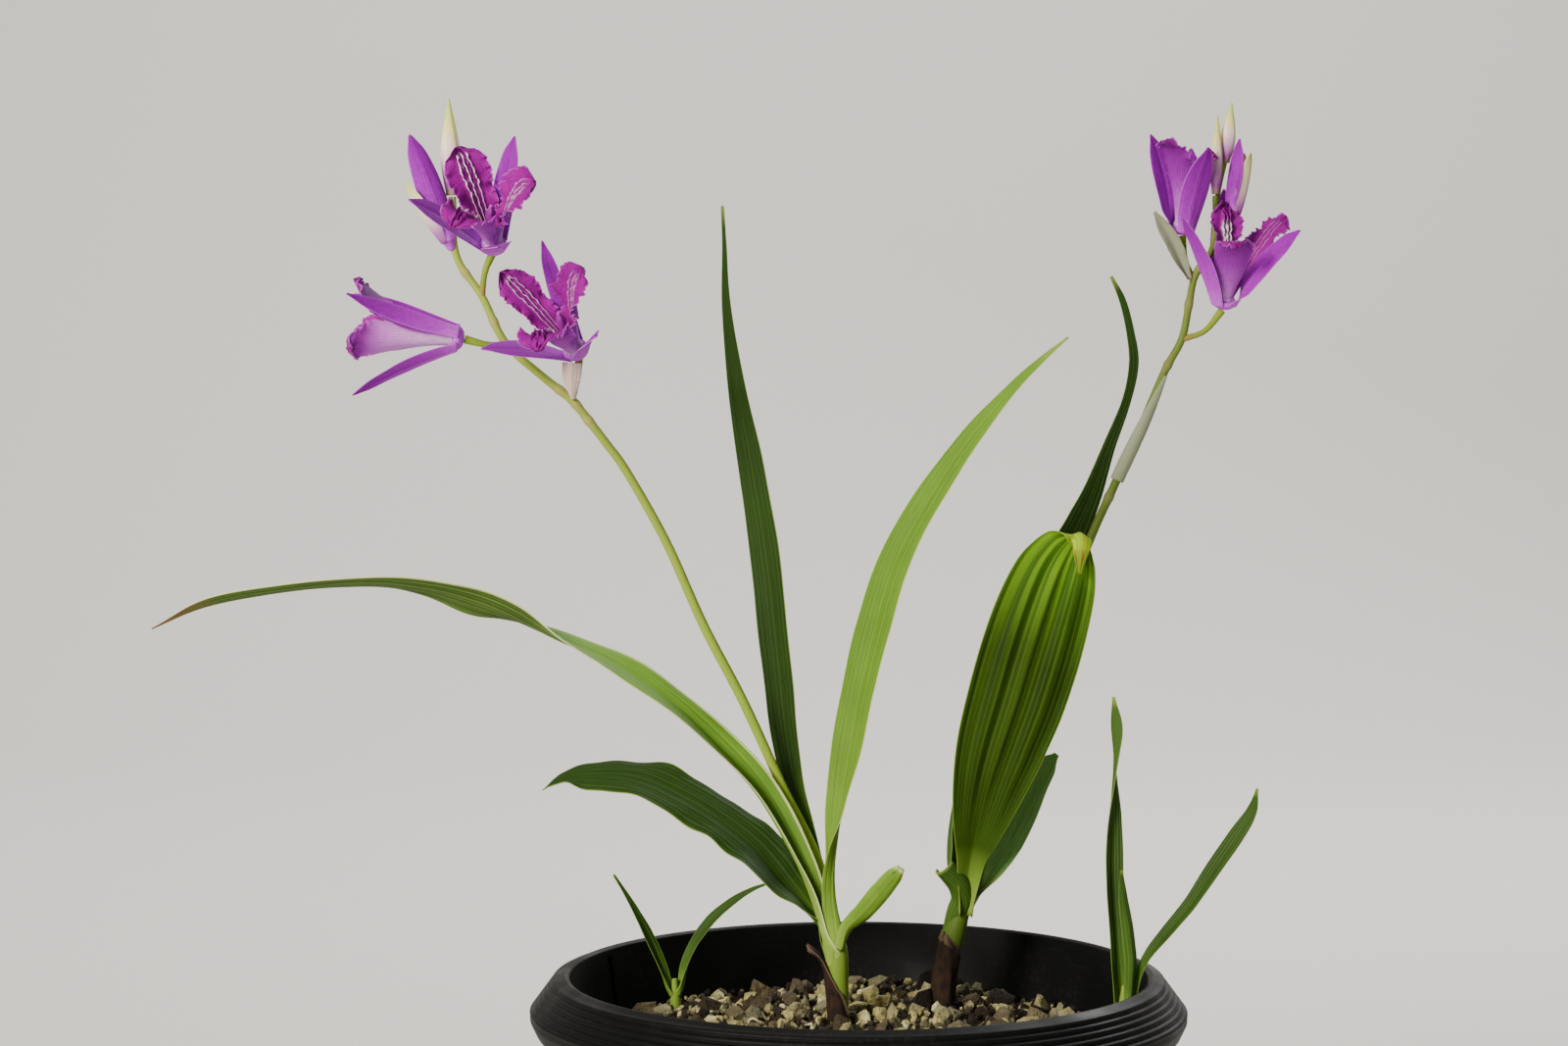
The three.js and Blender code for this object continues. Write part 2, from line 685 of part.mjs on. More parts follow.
plant(
  "bract_b",
  COLOUR.bract,
  leaf({
    bearing: 190,
    rows: 6,
    columns: 2,
    thickness: 0.6,
    stations: [
      [84.4, 44.6, 288.4, 2.4, 20, 45], [82, 43.8, 293.6, 3.6, 35, 35], [79.6, 43, 298, 3.6, 40, 28],
      [77.2, 42.5, 302, 2.4, 40, 15], [75.3, 42, 305.5, 0.9, 40, 0],
    ],
  }),
  0.8,
);

// ---------------------------------------------------------------- young shoots
const STEM_C = [[-45.6, 38, 92], [-45.6, 38, 100], [-45.8, 38, 107.4]];
const STEM_D = [[63, -8, 90], [63.2, -8, 102], [64, -8, 112]];

plant("shoot_c", COLOUR.stem, stem({ route: STEM_C, radii: [1.5, 1.5, 1.6], steps: 3, sides: 7 }));
plant(
  "leaf_c1",
  COLOUR.youngLeaf,
  leaf({
    bearing: 170,
    rows: 7,
    columns: 2,
    stations: [
      [-46.5, 38.2, 106.6, 2.8, 0, 58], [-49.2, 37, 114.5, 3.4, 35, 35], [-52.2, 36, 121.7, 3.4, 38, 25],
      [-55.6, 35, 128.8, 2.2, 40, 15], [-58.7, 34.3, 134.4, 1.2, 40, 5], [-61.2, 34, 138.4, 0.8, 40, 0],
    ],
  }),
);
plant(
  "leaf_c2",
  COLOUR.youngLeaf,
  leaf({
    bearing: 0,
    rows: 8,
    columns: 2,
    stations: [
      [-45, 38.2, 106.6, 2.8, 0, 58], [-43.2, 38.5, 114.4, 3.4, -35, 38], [-40.4, 38.5, 120.6, 3.8, -40, 30],
      [-36.2, 38.5, 126.3, 3.8, -40, 22], [-31, 38.8, 130.8, 2.8, -40, 15], [-26.3, 39, 133.7, 1.6, -40, 5],
      [-22.1, 39.2, 135.3, 0.8, -40, 0],
    ],
  }),
);
plant("shoot_d", COLOUR.stem, stem({ route: STEM_D, radii: [2.3, 2.4, 2.6], steps: 4 }));
plant(
  "leaf_d1",
  COLOUR.youngLeaf,
  leaf({
    bearing: 150,
    rows: 11,
    columns: 2,
    stations: [
      [63.1, -7.6, 111, 6.4, 0, 60], [62.4, -7.5, 128.5, 7, -20, 40], [61.5, -7, 140.5, 6.6, -25, 38],
      [61.5, -6, 152.4, 6, -35, 32], [61.8, -5, 163, 5.4, -40, 28], [62, -4.5, 171.3, 4, -55, 22],
      [62.5, -4, 180.3, 3.6, -35, 12], [61.6, -4, 187.7, 0.8, -30, 0],
    ],
  }),
);
plant(
  "leaf_d2",
  COLOUR.youngLeaf,
  leaf({
    bearing: -60,
    rows: 6,
    columns: 2,
    stations: [
      [65, -9.3, 111, 4, 0, 58], [66, -9.8, 121.9, 3.6, -20, 40], [65.1, -10.5, 130.5, 3, -25, 30],
      [63.4, -11, 139.4, 2.4, -25, 15], [63, -11, 146.5, 0.8, -20, 0],
    ],
  }),
);
plant(
  "leaf_d3",
  COLOUR.youngLeaf,
  leaf({
    bearing: 0,
    rows: 9,
    columns: 2,
    stations: [
      [65.4, -7.6, 111, 4, 0, 58], [67.4, -8.2, 119.4, 4.4, -20, 42], [69.9, -8.8, 125.2, 4.6, -35, 30],
      [74.3, -9.8, 131.3, 5, -45, 22], [79.8, -11, 138.4, 5.2, -45, 18], [85.1, -12, 146.9, 5.4, -48, 14],
      [90.3, -13, 154.9, 5, -50, 10], [94, -13.5, 161.1, 3.4, -48, 5], [95.3, -14, 166.8, 0.8, -45, 0],
    ],
  }),
);

// ---------------------------------------------------------------- blooms: [azimuth, opening, length] each
const BLOOMS = {
  a1: {
    at: [-87.5, -6, 296.6],
    axis: [-0.07, -0.79, 0.6],
    sepals: [[52, 24, 28, 0.85], [183, 33, 26], [286, 36, 28]],
    lips: [[113, 25, 25], [354, 22, 25.5], [236, 21, 26]],
  },
  a2: {
    at: [-68.2, -1, 271.2],
    axis: [-0.32, -0.75, 0.58],
    sepals: [[63, 22, 28.5, 0.65], [191, 37, 26], [292, 38, 27.5]],
    lips: [[116, 28, 25], [1, 20, 25.5], [244, 25, 26]],
  },
  a3: {
    at: [-95.9, -8, 274.4],
    axis: [-0.99, -0.05, 0.12],
    sepals: [[293, 24, 27.5, 0.85], [210, 34, 27.8, 0.9], [59, 22, 29]],
    lips: [[356, 17, 26.5], [238, 15, 26.5], [111, 16, 26.5]],
  },
  b1: {
    at: [93.5, 46, 282.3],
    axis: [0.06, -0.31, 0.95],
    sepals: [[215, 29, 28], [328, 33, 28], [95, 25, 28.5]],
    lips: [[269, 31, 25.5, 0.9], [34, 37, 25.5, 0.9], [152, 13, 25.5]],
  },
  b2: {
    at: [83, 47, 301.1],
    axis: [0.02, -0.29, 0.96],
    sepals: [[168, 15, 25], [285, 24, 27.5], [75, 9, 20]],
    lips: [[227, 14, 25], [347, 12, 20], [107, 11, 17.5]],
  },
};

for (const [name, spec] of Object.entries(BLOOMS)) {
  const parts = bloom(spec);
  plant(`bloom_${name}_sepals`, COLOUR.sepal, parts.sepals);
  plant(`bloom_${name}_column`, COLOUR.column, parts.column);
  plant(`bloom_${name}_lips`, COLOUR.lip, parts.lips);
}

// ---------------------------------------------------------------- buds
plant("opening_bud_a", COLOUR.sepal, openingBud({
  at: [-98.2, -7, 297.4],
  axis: [-0.34, -0.18, 0.93],
  core: 17,
  sepals: [[283, 2, 27.5], [190, 9, 17, 0.85], [65, 3, 22, 0.85]],
}));
plant("bud_a", COLOUR.bud, bud([-97.3, -7.6, 308.4], [-98, -8, 331.3], 4.8));
plant("opening_bud_b", COLOUR.bud, openingBud({
  at: [95.4, 46, 304.4],
  axis: [0.16, -0.08, 0.98],
  core: 13,
  sepals: [[215, 1, 19.5, 0.85], [320, 1, 16.5, 0.8], [80, 1, 16, 0.8]],
}));
plant("bud_b1", COLOUR.bud, bud([91.1, 46, 310], [91.6, 46, 329.8], 3.2));
plant("bud_b2", COLOUR.bud, bud([93.7, 47.9, 318], [95.3, 48, 333.1], 3.8));

// ---------------------------------------------------------------- pot and potting mix
/** Radius of the pot's inner wall at a height. */
const innerRadius = (z) =>
  THREE.MathUtils.mapLinear(z, POT.floor, POT.height, POT.baseRadius - POT.wall, POT.rimRadius - 1.2);

/** The moulded pot: tapered wall, flared ribbed rim that turns down, drain holes and a groove inside. */
function pot() {
  const { height, rimRadius, outerRadius, baseRadius, wall, floor, segments, drains, groove } = POT;
  const ribs = [];
  const ribCount = 4;
  for (let k = 0; k < ribCount; k += 1) {
    const r = rimRadius + 2.8 + k * 1.5;
    const z = height - 1.9 - k * 1.9;
    ribs.push([r, z], [r + 0.4, z - 0.8]);
  }
  const profile = [
    [0, 0], [baseRadius - 1.5, 0], [baseRadius, 1.5], [rimRadius - 0.7, height - 8],
    [rimRadius + 0.4, height - 4],
    [outerRadius - 3, height - 11.5], [outerRadius - 6.6, height - 17], [outerRadius - 5.4, height - 18],
    [outerRadius - 1.6, height - 14], [outerRadius, height - 10.6],
    ...ribs.reverse(), [rimRadius + 1.6, height - 0.8], [rimRadius, height], [rimRadius - 1.2, height - 0.6],
    [innerRadius(floor), floor], [0, floor],
  ];
  let body = solidOf(turned(profile, segments));
  for (let k = 0; k < drains.count; k += 1) {
    const angle = (2 * Math.PI * (k + 0.5)) / drains.count;
    const hole = new THREE.CylinderGeometry(drains.radius, drains.radius, 3 * floor, 8).rotateX(Math.PI / 2);
    hole.translate(drains.ring * Math.cos(angle), drains.ring * Math.sin(angle), floor / 2);
    body = body.subtract(solidOf(hole));
  }
  const bearing = radians(groove.bearing);
  const middle = (height + floor) / 2;
  const tilt = Math.atan2(innerRadius(height) - innerRadius(floor), height - floor);
  const slot = new THREE.BoxGeometry(2 * groove.depth, groove.width, height - 2 * floor).rotateY(tilt);
  slot.translate(innerRadius(middle), 0, middle).rotateZ(bearing);
  return body.subtract(solidOf(slot));
}

/** Height of the mix's surface, with its low mounds. */
function mixHeight(x, y) {
  const rise = ({ x: mx, y: my, height, spread }) =>
    height * Math.exp(-((x - mx) ** 2 + (y - my) ** 2) / (2 * spread ** 2));
  return MIX.mounds.reduce((z, mound) => z + rise(mound), MIX.level);
}

/** The mix: a body that fills the pot, its surface covered with angular stones sunk into it. */
function pottingMix() {
  const random = seeded(MIX.seed);
  const top = MIX.level;
  const bottom = POT.floor + GAP;
  const outer = (z) => innerRadius(z) - GAP - 0.1;
  const outline = [
    [0, bottom], [outer(bottom), bottom], [outer(top), top], [outer(top) * 0.66, top],
    [outer(top) * 0.33, top], [0, top],
  ];
  const heap = turned(outline, 20);
  const position = heap.getAttribute("position");
  for (let i = 0; i < position.count; i += 1) {
    const [x, y, z] = [position.getX(i), position.getY(i), position.getZ(i)];
    if (z > top - 0.1 && Math.hypot(x, y) < outer(top) - 1) position.setZ(i, mixHeight(x, y));
  }
  let mix = solidOf(heap);
  const step = MIX.stoneSpacing;
  const across = Math.ceil(outer(top) / step) + 1;
  for (let i = -across; i <= across; i += 1) {
    for (let j = -across; j <= across; j += 1) {
      const x = (i + 0.5 * (Math.abs(j) % 2) + 0.4 * (random() - 0.5)) * step;
      const y = (j + 0.4 * (random() - 0.5)) * step * 0.87;
      const size = THREE.MathUtils.mapLinear(random(), 0, 1, MIX.stoneSize[0], MIX.stoneSize[1]);
      const turn = new THREE.Euler(random() * 6, random() * 6, random() * 6);
      if (Math.hypot(x, y) > outer(top) - size * 0.6) continue;
      const stone = new THREE.OctahedronGeometry(size, 0);
      stone.applyMatrix4(new THREE.Matrix4().makeRotationFromEuler(turn));
      stone.scale(1.15, 1, 0.62).rotateZ(random() * 6).translate(x, y, mixHeight(x, y) - size * 0.12);
      mix = mix.add(solidOf(stone));
    }
  }
  const room = [[0, bottom], [outer(bottom), bottom], [outer(POT.height), POT.height], [0, POT.height]];
  return mix.intersect(solidOf(turned(room, POT.segments)));
}

const potSolid = pot();
plant("pot", COLOUR.pot, { solid: potSolid, grown: potSolid }, 0.55);
const mixSolid = pottingMix();
plant("potting_mix", COLOUR.mix, { solid: mixSolid, grown: mixSolid }, 0.95);

export default orchid;
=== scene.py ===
"""A bletilla orchid in a ribbed nursery pot: two flowering growths and two young shoots in a gritty mix.

Sizes are in millimetres and become metres where a mesh is made. +Z is up, the origin is the centre of the
pot's underside, and the open blooms and the pleated leaf look to -Y.
"""
import json
import logging
import math
from dataclasses import dataclass, replace
from enum import Enum
from functools import partial
from typing import Callable, Iterable, NamedTuple, Sequence

import bmesh
import bpy
import numpy as np
from mathutils import Matrix, Vector

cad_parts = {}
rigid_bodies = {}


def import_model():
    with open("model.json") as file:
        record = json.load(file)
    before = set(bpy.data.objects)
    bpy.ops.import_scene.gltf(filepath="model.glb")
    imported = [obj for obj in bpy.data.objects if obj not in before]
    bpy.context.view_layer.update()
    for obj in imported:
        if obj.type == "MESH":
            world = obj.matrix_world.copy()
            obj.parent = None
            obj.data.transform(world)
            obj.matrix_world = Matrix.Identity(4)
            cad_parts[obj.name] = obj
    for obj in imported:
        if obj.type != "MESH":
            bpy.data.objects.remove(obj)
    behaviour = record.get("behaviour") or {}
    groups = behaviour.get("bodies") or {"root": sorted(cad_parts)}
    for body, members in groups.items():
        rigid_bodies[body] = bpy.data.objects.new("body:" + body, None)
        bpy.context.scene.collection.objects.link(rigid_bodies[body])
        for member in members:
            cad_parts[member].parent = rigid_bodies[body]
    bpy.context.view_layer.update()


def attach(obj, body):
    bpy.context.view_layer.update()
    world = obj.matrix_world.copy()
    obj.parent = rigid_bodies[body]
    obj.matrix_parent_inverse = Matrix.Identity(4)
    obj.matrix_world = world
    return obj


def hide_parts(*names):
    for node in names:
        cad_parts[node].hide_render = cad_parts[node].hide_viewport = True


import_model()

MM = 0.001
log = logging.getLogger("orchid")

Row = Sequence[float]
Stops = tuple[tuple[float, str], ...]
Adder = Callable[..., bpy.types.Node]


# ------------------------------------------------------------ numbers and curves
def linear(hex_colour: str) -> tuple[float, ...]:
    """Turns an sRGB hex colour, such as "6e8c36", to linear light with an alpha of 1."""
    parts = (int(hex_colour[i:i + 2], 16) / 255 for i in (0, 2, 4))
    return (*(v / 12.92 if v <= 0.04045 else ((v + 0.055) / 1.055) ** 2.4 for v in parts), 1.0)


def smooth(value: np.ndarray, low: float, high: float) -> np.ndarray:
    """Eases from 0 at low to 1 at high."""
    x = np.clip((np.asarray(value, float) - low) / (high - low), 0, 1)
    return x * x * (3 - 2 * x)


def field(*parts: np.ndarray | float) -> np.ndarray:
    """Spreads values over the same rows and columns and joins them at each point."""
    return np.stack(np.broadcast_arrays(*parts), axis=-1)


def catmull(points: np.ndarray, share: np.ndarray, mirrored: bool) -> np.ndarray:
    """Reads an even Catmull-Rom curve.

    Args:
        points: the curve's points, one in each row.
        share: where to read it, from 0 to 1.
        mirrored: whether the ends are mirrored, as on a stem's route, or repeated.

    Returns:
        One row for each value of share.
    """
    points = np.asarray(points, float)
    first = 2 * points[0] - points[1] if mirrored else points[0]
    last = 2 * points[-1] - points[-2] if mirrored else points[-1]
    padded = np.vstack([first[None], points, last[None]])
    place = (len(points) - 1) * np.clip(share, 0, 1)
    i = np.clip(np.floor(place).astype(int), 0, len(points) - 2)
    w = (place - i)[:, None]
    p0, p1, p2, p3 = (padded[i + k] for k in range(4))
    t0, t1 = 0.5 * (p2 - p0), 0.5 * (p3 - p1)
    cubic = (2 * p1 - 2 * p2 + t0 + t1) * w**3 + (-3 * p1 + 3 * p2 - 2 * t0 - t1) * w**2
    return cubic + t0 * w + p1


def along(values: Row, share: np.ndarray) -> np.ndarray:
    """Reads a smooth line through evenly spaced numbers at each share of it."""
    return catmull(np.asarray(values, float)[:, None], np.asarray(share, float), False)[:, 0]


def unit(vectors: np.ndarray) -> np.ndarray:
    """Scales each vector to a length of 1."""
    return vectors / np.maximum(np.linalg.norm(vectors, axis=-1, keepdims=True), 1e-9)


def turned(vectors: np.ndarray, axes: np.ndarray, angles: np.ndarray) -> np.ndarray:
    """Turns each vector about its own axis.

    Args:
        vectors: the vectors.
        axes: a unit axis for each.
        angles: an angle for each, in radians.

    Returns:
        The turned vectors.
    """
    c, s = np.cos(angles)[..., None], np.sin(angles)[..., None]
    dot = np.sum(vectors * axes, axis=-1, keepdims=True)
    return vectors * c + np.cross(axes, vectors) * s + axes * dot * (1 - c)


def tangents(points: np.ndarray, share: np.ndarray) -> np.ndarray:
    """Gives the direction of a route at each share of it."""
    ahead, behind = (catmull(points, np.clip(share + step, 0, 1), True) for step in (1e-4, -1e-4))
    return unit(ahead - behind)


def distance_along(points: np.ndarray) -> np.ndarray:
    """Gives how far along a line each of its points is."""
    return np.concatenate([[0], np.cumsum(np.linalg.norm(np.diff(points, axis=0), axis=1))])


def waves(share: np.ndarray, seed: int, slowest: float, count: int = 4) -> np.ndarray:
    """Adds a few seeded sine waves, for an edge or a surface that is never quite regular.

    Args:
        share: where to read them.
        seed: which set of waves.
        slowest: how many of the longest wave fit in a share of 1.
        count: how many waves are added.

    Returns:
        Values of about -1 to 1.
    """
    random = np.random.default_rng(seed)
    total = np.zeros_like(np.asarray(share, float))
    for k in range(count):
        turns = slowest * (1 + 0.8 * k + 0.3 * random.random())
        total = total + np.sin(2 * np.pi * (turns * share + random.random())) / (1 + 0.6 * k)
    return total / 1.8


def per(size_mm: float) -> float:
    """Gives a pattern's scale for a real size in millimetres."""
    return 1 / (size_mm * MM)


# ------------------------------------------------------------ nodes and finishes
def feed(tree: bpy.types.NodeTree, socket: bpy.types.NodeSocket, value: object) -> None:
    """Feeds one input of a node.

    Args:
        tree: the node tree.
        socket: the input.
        value: a number, a hex colour, an output, a node whose first output is linked, or None for nothing.
    """
    if isinstance(value, bpy.types.Node):
        value = next(output for output in value.outputs if output.enabled)
    if isinstance(value, bpy.types.NodeSocket):
        tree.links.new(value, socket)
    elif value is not None:
        socket.default_value = linear(value) if socket.type == "RGBA" else value


def add_node(tree: bpy.types.NodeTree, kind: str, *values: object, **settings: object) -> bpy.types.Node:
    """Adds one node with its settings and links.

    Args:
        tree: the node tree.
        kind: the node's type name, short of the ShaderNode that a shader's begins with.
        *values: what feeds its enabled inputs, in their order.
        **settings: the node's own properties; `stops` gives a colour ramp its (share, hex) stops, and
            `named` says what feeds the inputs of these names.

    Returns:
        The node.
    """
    node = tree.nodes.new(kind if "Node" in kind else f"ShaderNode{kind}")
    named, stops = settings.pop("named", {}), settings.pop("stops", ())
    for name, value in settings.items():
        setattr(node, name, value)
    if stops:
        elements = node.color_ramp.elements
        while len(elements) < len(stops):
            elements.new(1.0)
        for element, (share, colour) in zip(elements, stops):
            element.position = share
            element.color = linear(colour)
    enabled = [socket for socket in node.inputs if socket.enabled]
    for socket, value in (*zip(enabled, values), *((node.inputs[key], named[key]) for key in named)):
        feed(tree, socket, value)
    return node


def veins(node: Adder, place: object, size_mm: float, sharpness: float) -> bpy.types.Node:
    """Draws fine parallel veins, 1 on each and near 0 between them.

    Args:
        node: adds a node to the finish.
        place: the output that says how far across them a point is.
        size_mm: how far apart they are.
        sharpness: how narrow they are.

    Returns:
        The last node.
    """
    phase = node("Math", place, 2 * math.pi * per(size_mm), operation="MULTIPLY")
    lifted = node("Math", node("Math", phase, operation="COSINE"), 0.5, 0.5, operation="MULTIPLY_ADD")
    return node("Math", lifted, sharpness, operation="POWER")


def drawn_out(
    node: Adder, place: object, sizes_mm: Row, detail: float, broken: float = 0.5,
) -> bpy.types.Node:
    """Makes a noise whose spots have their own size along each axis, such as fibres and scratches.

    Args:
        node: adds a node to the finish.
        place: the output that it is read at.
        sizes_mm: the size of its spots along each axis.
        detail: how many finer layers it has.
        broken: how much these show.

    Returns:
        The noise.
    """
    scaled = node("Mapping", place, None, None, tuple(per(size) for size in sizes_mm))
    return node("TexNoise", scaled, 1.0, detail, broken)


def two_sided(node: Adder, share: object, upper: Stops, lower: Stops) -> bpy.types.Node:
    """Colours a blade from foot to tip.

    Args:
        node: adds a node to the finish.
        share: the output that says how far along it a point is.
        upper: the stops of its upper or inner face.
        lower: those of the other face, or none where they are the same.

    Returns:
        The colour.
    """
    ramps = [node("ValToRGB", share, stops=stops) for stops in (lower or upper, upper)]
    return node("Mix", node("Attribute", attribute_name="upper").outputs["Fac"], *ramps, data_type="RGBA")


class Coat(NamedTuple):
    """The nodes of a finish: its colour, its relief with strength and depth, and its roughness."""

    colour: bpy.types.Node | str
    relief: bpy.types.Node
    strength: float
    depth_mm: float
    gloss: bpy.types.Node | None = None


@dataclass(frozen=True)
class Finish:
    """What every finish has: its name and how its real surface takes light."""

    name: str
    roughness: float = 0.5
    ior: float = 1.45
    subsurface: float = 0.0
    depth: tuple[float, float, float] = (1.0, 1.0, 1.0)
    specular: float = 0.3

    def material(self) -> bpy.types.Material:
        """Gives the finish's material, and makes it the first time."""
        made = bpy.data.materials.get(self.name)
        if made:
            return made
        made = bpy.data.materials.new(self.name)
        made.use_nodes = True
        tree = made.node_tree
        coat = self.dress(partial(add_node, tree))
        relief = {"Strength": coat.strength, "Distance": coat.depth_mm * MM, "Height": coat.relief}
        inputs = {
            "Base Color": coat.colour, "Normal": add_node(tree, "Bump", named=relief),
            "Roughness": coat.gloss or self.roughness, "IOR": self.ior,
            "Specular IOR Level": self.specular,
        }
        if self.subsurface:
            inputs["Subsurface Weight"] = self.subsurface
            inputs["Subsurface Radius"] = self.depth
            inputs["Subsurface Scale"] = MM
        for key, value in inputs.items():
            feed(tree, tree.nodes["Principled BSDF"].inputs[key], value)
        return made

    def dress(self, node: Adder) -> Coat:
        """Adds the nodes of the finish.

        Args:
            node: adds a node to it.

        Returns:
            Its coat.
        """
        raise NotImplementedError


@dataclass(frozen=True)
class LeafCuticle(Finish):
    """Waxed skin of a living leaf, grown: satin, with parallel veins and a paler underside.

    `stops` colour it from the pale sheathing foot to the tip on the upper face and `under`, if given, on the
    lower one. A paler `edge` shows beyond the share `margin`, and bands of painted light brighten the
    pleats towards the tip.
    """

    stops: Stops = ((0.0, "a9bf63"), (0.15, "7d9a41"), (1.0, "7d9a41"))
    under: Stops = ()
    vein: str = "a3b866"
    vein_show: float = 0.22
    edge: str = "a9b86a"
    margin: float = 0.95
    vein_mm: float = 1.1
    lit_bands: float = 0.0
    lit_stripe: str = "8fb02c"

    def dress(self, node: Adder) -> Coat:
        """Adds parallel veins, fine streaks, a pale foot, dry tip and margins, and stripes of painted
        light on the pleats.
        """
        tissue, lamina = (node("Attribute", attribute_name=n).outputs["Vector"] for n in ("tissue", "lamina"))
        share, side, _ = node("SeparateXYZ", tissue).outputs
        sided = two_sided(node, share, self.stops, self.under)
        vein = veins(node, node("SeparateXYZ", lamina).outputs["Y"], self.vein_mm, 5.0)
        streak = drawn_out(node, lamina, (9.0, 0.35, 1.0), 3.0)
        centred = node("Math", side, operation="ABSOLUTE")
        rib = node("MapRange", centred, 0.02, 0.07, 0.7, 0.0)
        lines = node("Math", vein, rib, operation="MAXIMUM")
        faint = node("Math", lines, self.vein_show, operation="MULTIPLY")
        veined = node("Mix", faint, sided, self.vein, data_type="RGBA")
        patch = node("TexNoise", node("TexCoord").outputs["Object"], per(14.0), 2.0)
        value = node("MapRange", node("Math", streak, patch, operation="ADD"), 0.6, 1.4, 0.8, 1.16)
        toned = node("Mix", 1.0, veined, value, data_type="RGBA", blend_type="MULTIPLY")
        margin = node("MapRange", centred, self.margin, 0.7 + 0.3 * self.margin, 0.0, 0.8)
        colour = node("Mix", margin, toned, self.edge, data_type="RGBA")
        # Bands of painted light on the pleats, brightening towards the tip.
        if self.lit_bands:
            cloud = node("TexNoise", node("Mapping", tissue, None, None, (1.3, 5.2, 1.0)), 1.0, 1.5)
            band = node("MapRange", cloud, 0.43, 0.56, 0.0, self.lit_bands)
            rising = ((0.2, "000000"), (0.45, "5a5a5a"), (0.6, "d0d0d0"), (0.78, "ffffff"))
            lit = node("Math", band, node("ValToRGB", share, stops=rising), operation="MULTIPLY")
            colour = node("Mix", lit, colour, self.lit_stripe, data_type="RGBA")
        gloss = node("MapRange", streak, 0.3, 0.7, self.roughness - 0.07, self.roughness + 0.1)
        return Coat(colour, node("Math", streak, 0.45, lines, operation="MULTIPLY_ADD"), 0.55, 0.12, gloss)


@dataclass(frozen=True)
class PetalTissue(Finish):
    """Soft translucent tissue of a sepal or lip, grown: matt, with branching veins and a fine sparkle.

    `stops` colour it from foot to tip on the inner face and `outer` on the outer face; `crest` whitens the
    wavy keels of a lip, and `edge` the margins.
    """

    stops: Stops = ((0.0, "b040c4"), (0.2, "9c1cb0"), (1.0, "860c98"))
    outer: Stops = ((0.0, "c45cd8"), (0.2, "b034c6"), (0.6, "961aac"), (1.0, "800c94"))
    vein: str = "5e0870"
    edge: str = "c478d4"
    crest: str = "fbf2fb"
    vein_mm: float = 0.75
    mottle: float = 0.22

    def dress(self, node: Adder) -> Coat:
        """Adds the inner and outer colour, veins, mottling, white crests and pale margins."""
        tissue, lamina = (node("Attribute", attribute_name=n).outputs["Vector"] for n in ("tissue", "lamina"))
        share, side, crest = node("SeparateXYZ", tissue).outputs
        sided = two_sided(node, share, self.stops, self.outer)
        across = node("SeparateXYZ", lamina).outputs["Y"]
        wander = node("TexNoise", lamina, per(3.5), 2.0)
        offset = node("Math", wander, 0.9 * MM, across, operation="MULTIPLY_ADD")
        vein = veins(node, offset, self.vein_mm, 4.0)
        cells = node("TexNoise", node("TexCoord").outputs["Object"], per(0.9), 3.0, 0.6)
        patchy = node("MapRange", cells, 0.42, 0.66, 0.0, self.mottle)
        drawn = node("Math", vein, 0.3, patchy, operation="MULTIPLY_ADD")
        capped = node("Math", drawn, 0.8, operation="MINIMUM")
        veined = node("Mix", capped, sided, self.vein, data_type="RGBA")
        margin = node("MapRange", node("Math", side, operation="ABSOLUTE"), 0.94, 1.0, 0.0, 0.7)
        edged = node("Mix", margin, veined, self.edge, data_type="RGBA")
        crested = node("Mix", crest, edged, self.crest, data_type="RGBA")
        return Coat(crested, node("Math", vein, 0.5, cells, operation="MULTIPLY_ADD"), 0.5, 0.1)


@dataclass(frozen=True)
class StalkSkin(Finish):
    """Smooth skin of a flower stalk, pedicel or pseudostem, grown: satin, with long faint streaks."""

    stops: Stops = ((0.0, "a5b84a"), (1.0, "a5b84a"))
    flush: str = "c2a89a"
    streak: str = "7c8c3c"

    def dress(self, node: Adder) -> Coat:
        """Adds the colour along the stalk, a flush where `tissue` asks for it, and long streaks."""
        tissue = node("Attribute", attribute_name="tissue").outputs["Vector"]
        share, flush, _ = node("SeparateXYZ", tissue).outputs
        streak = drawn_out(node, node("TexCoord").outputs["Object"], (0.5, 0.5, 9.0), 3.0)
        shade = node("MapRange", streak, 0.4, 0.75, 0.0, 0.45)
        body = node("ValToRGB", share, stops=self.stops)
        streaked = node("Mix", shade, body, self.streak, data_type="RGBA")
        return Coat(node("Mix", flush, streaked, self.flush, data_type="RGBA"), streak, 0.35, 0.1)


@dataclass(frozen=True)
class DriedSheath(Finish):
    """Dead papery sheath leaf, weathered: matt fibres, frayed pale margins over dark brown."""

    body: str = "4a3020"
    dark: str = "22160e"
    fibre: str = "8d7256"
    edge: str = "c2b096"
    fibre_mm: float = 0.5

    def dress(self, node: Adder) -> Coat:
        """Adds long fibres, stains and a pale torn margin."""
        tissue, lamina = (node("Attribute", attribute_name=n).outputs["Vector"] for n in ("tissue", "lamina"))
        share, side, _ = node("SeparateXYZ", tissue).outputs
        fibre = drawn_out(node, lamina, (6.0, self.fibre_mm, 1.0), 4.0, 0.65)
        stain = node("TexNoise", node("TexCoord").outputs["Object"], per(3.0), 3.0)
        stained = node("ValToRGB", stain, stops=((0.35, self.dark), (0.6, self.body)))
        line = node("MapRange", fibre, 0.5, 0.75, 0.0, 0.7)
        fibred = node("Mix", line, stained, self.fibre, data_type="RGBA")
        outer = node("Math", node("Math", side, operation="ABSOLUTE"), share, operation="MAXIMUM")
        margin = node("MapRange", outer, 0.86, 1.0, 0.0, 0.85)
        return Coat(node("Mix", margin, fibred, self.edge, data_type="RGBA"), fibre, 0.8, 0.2)


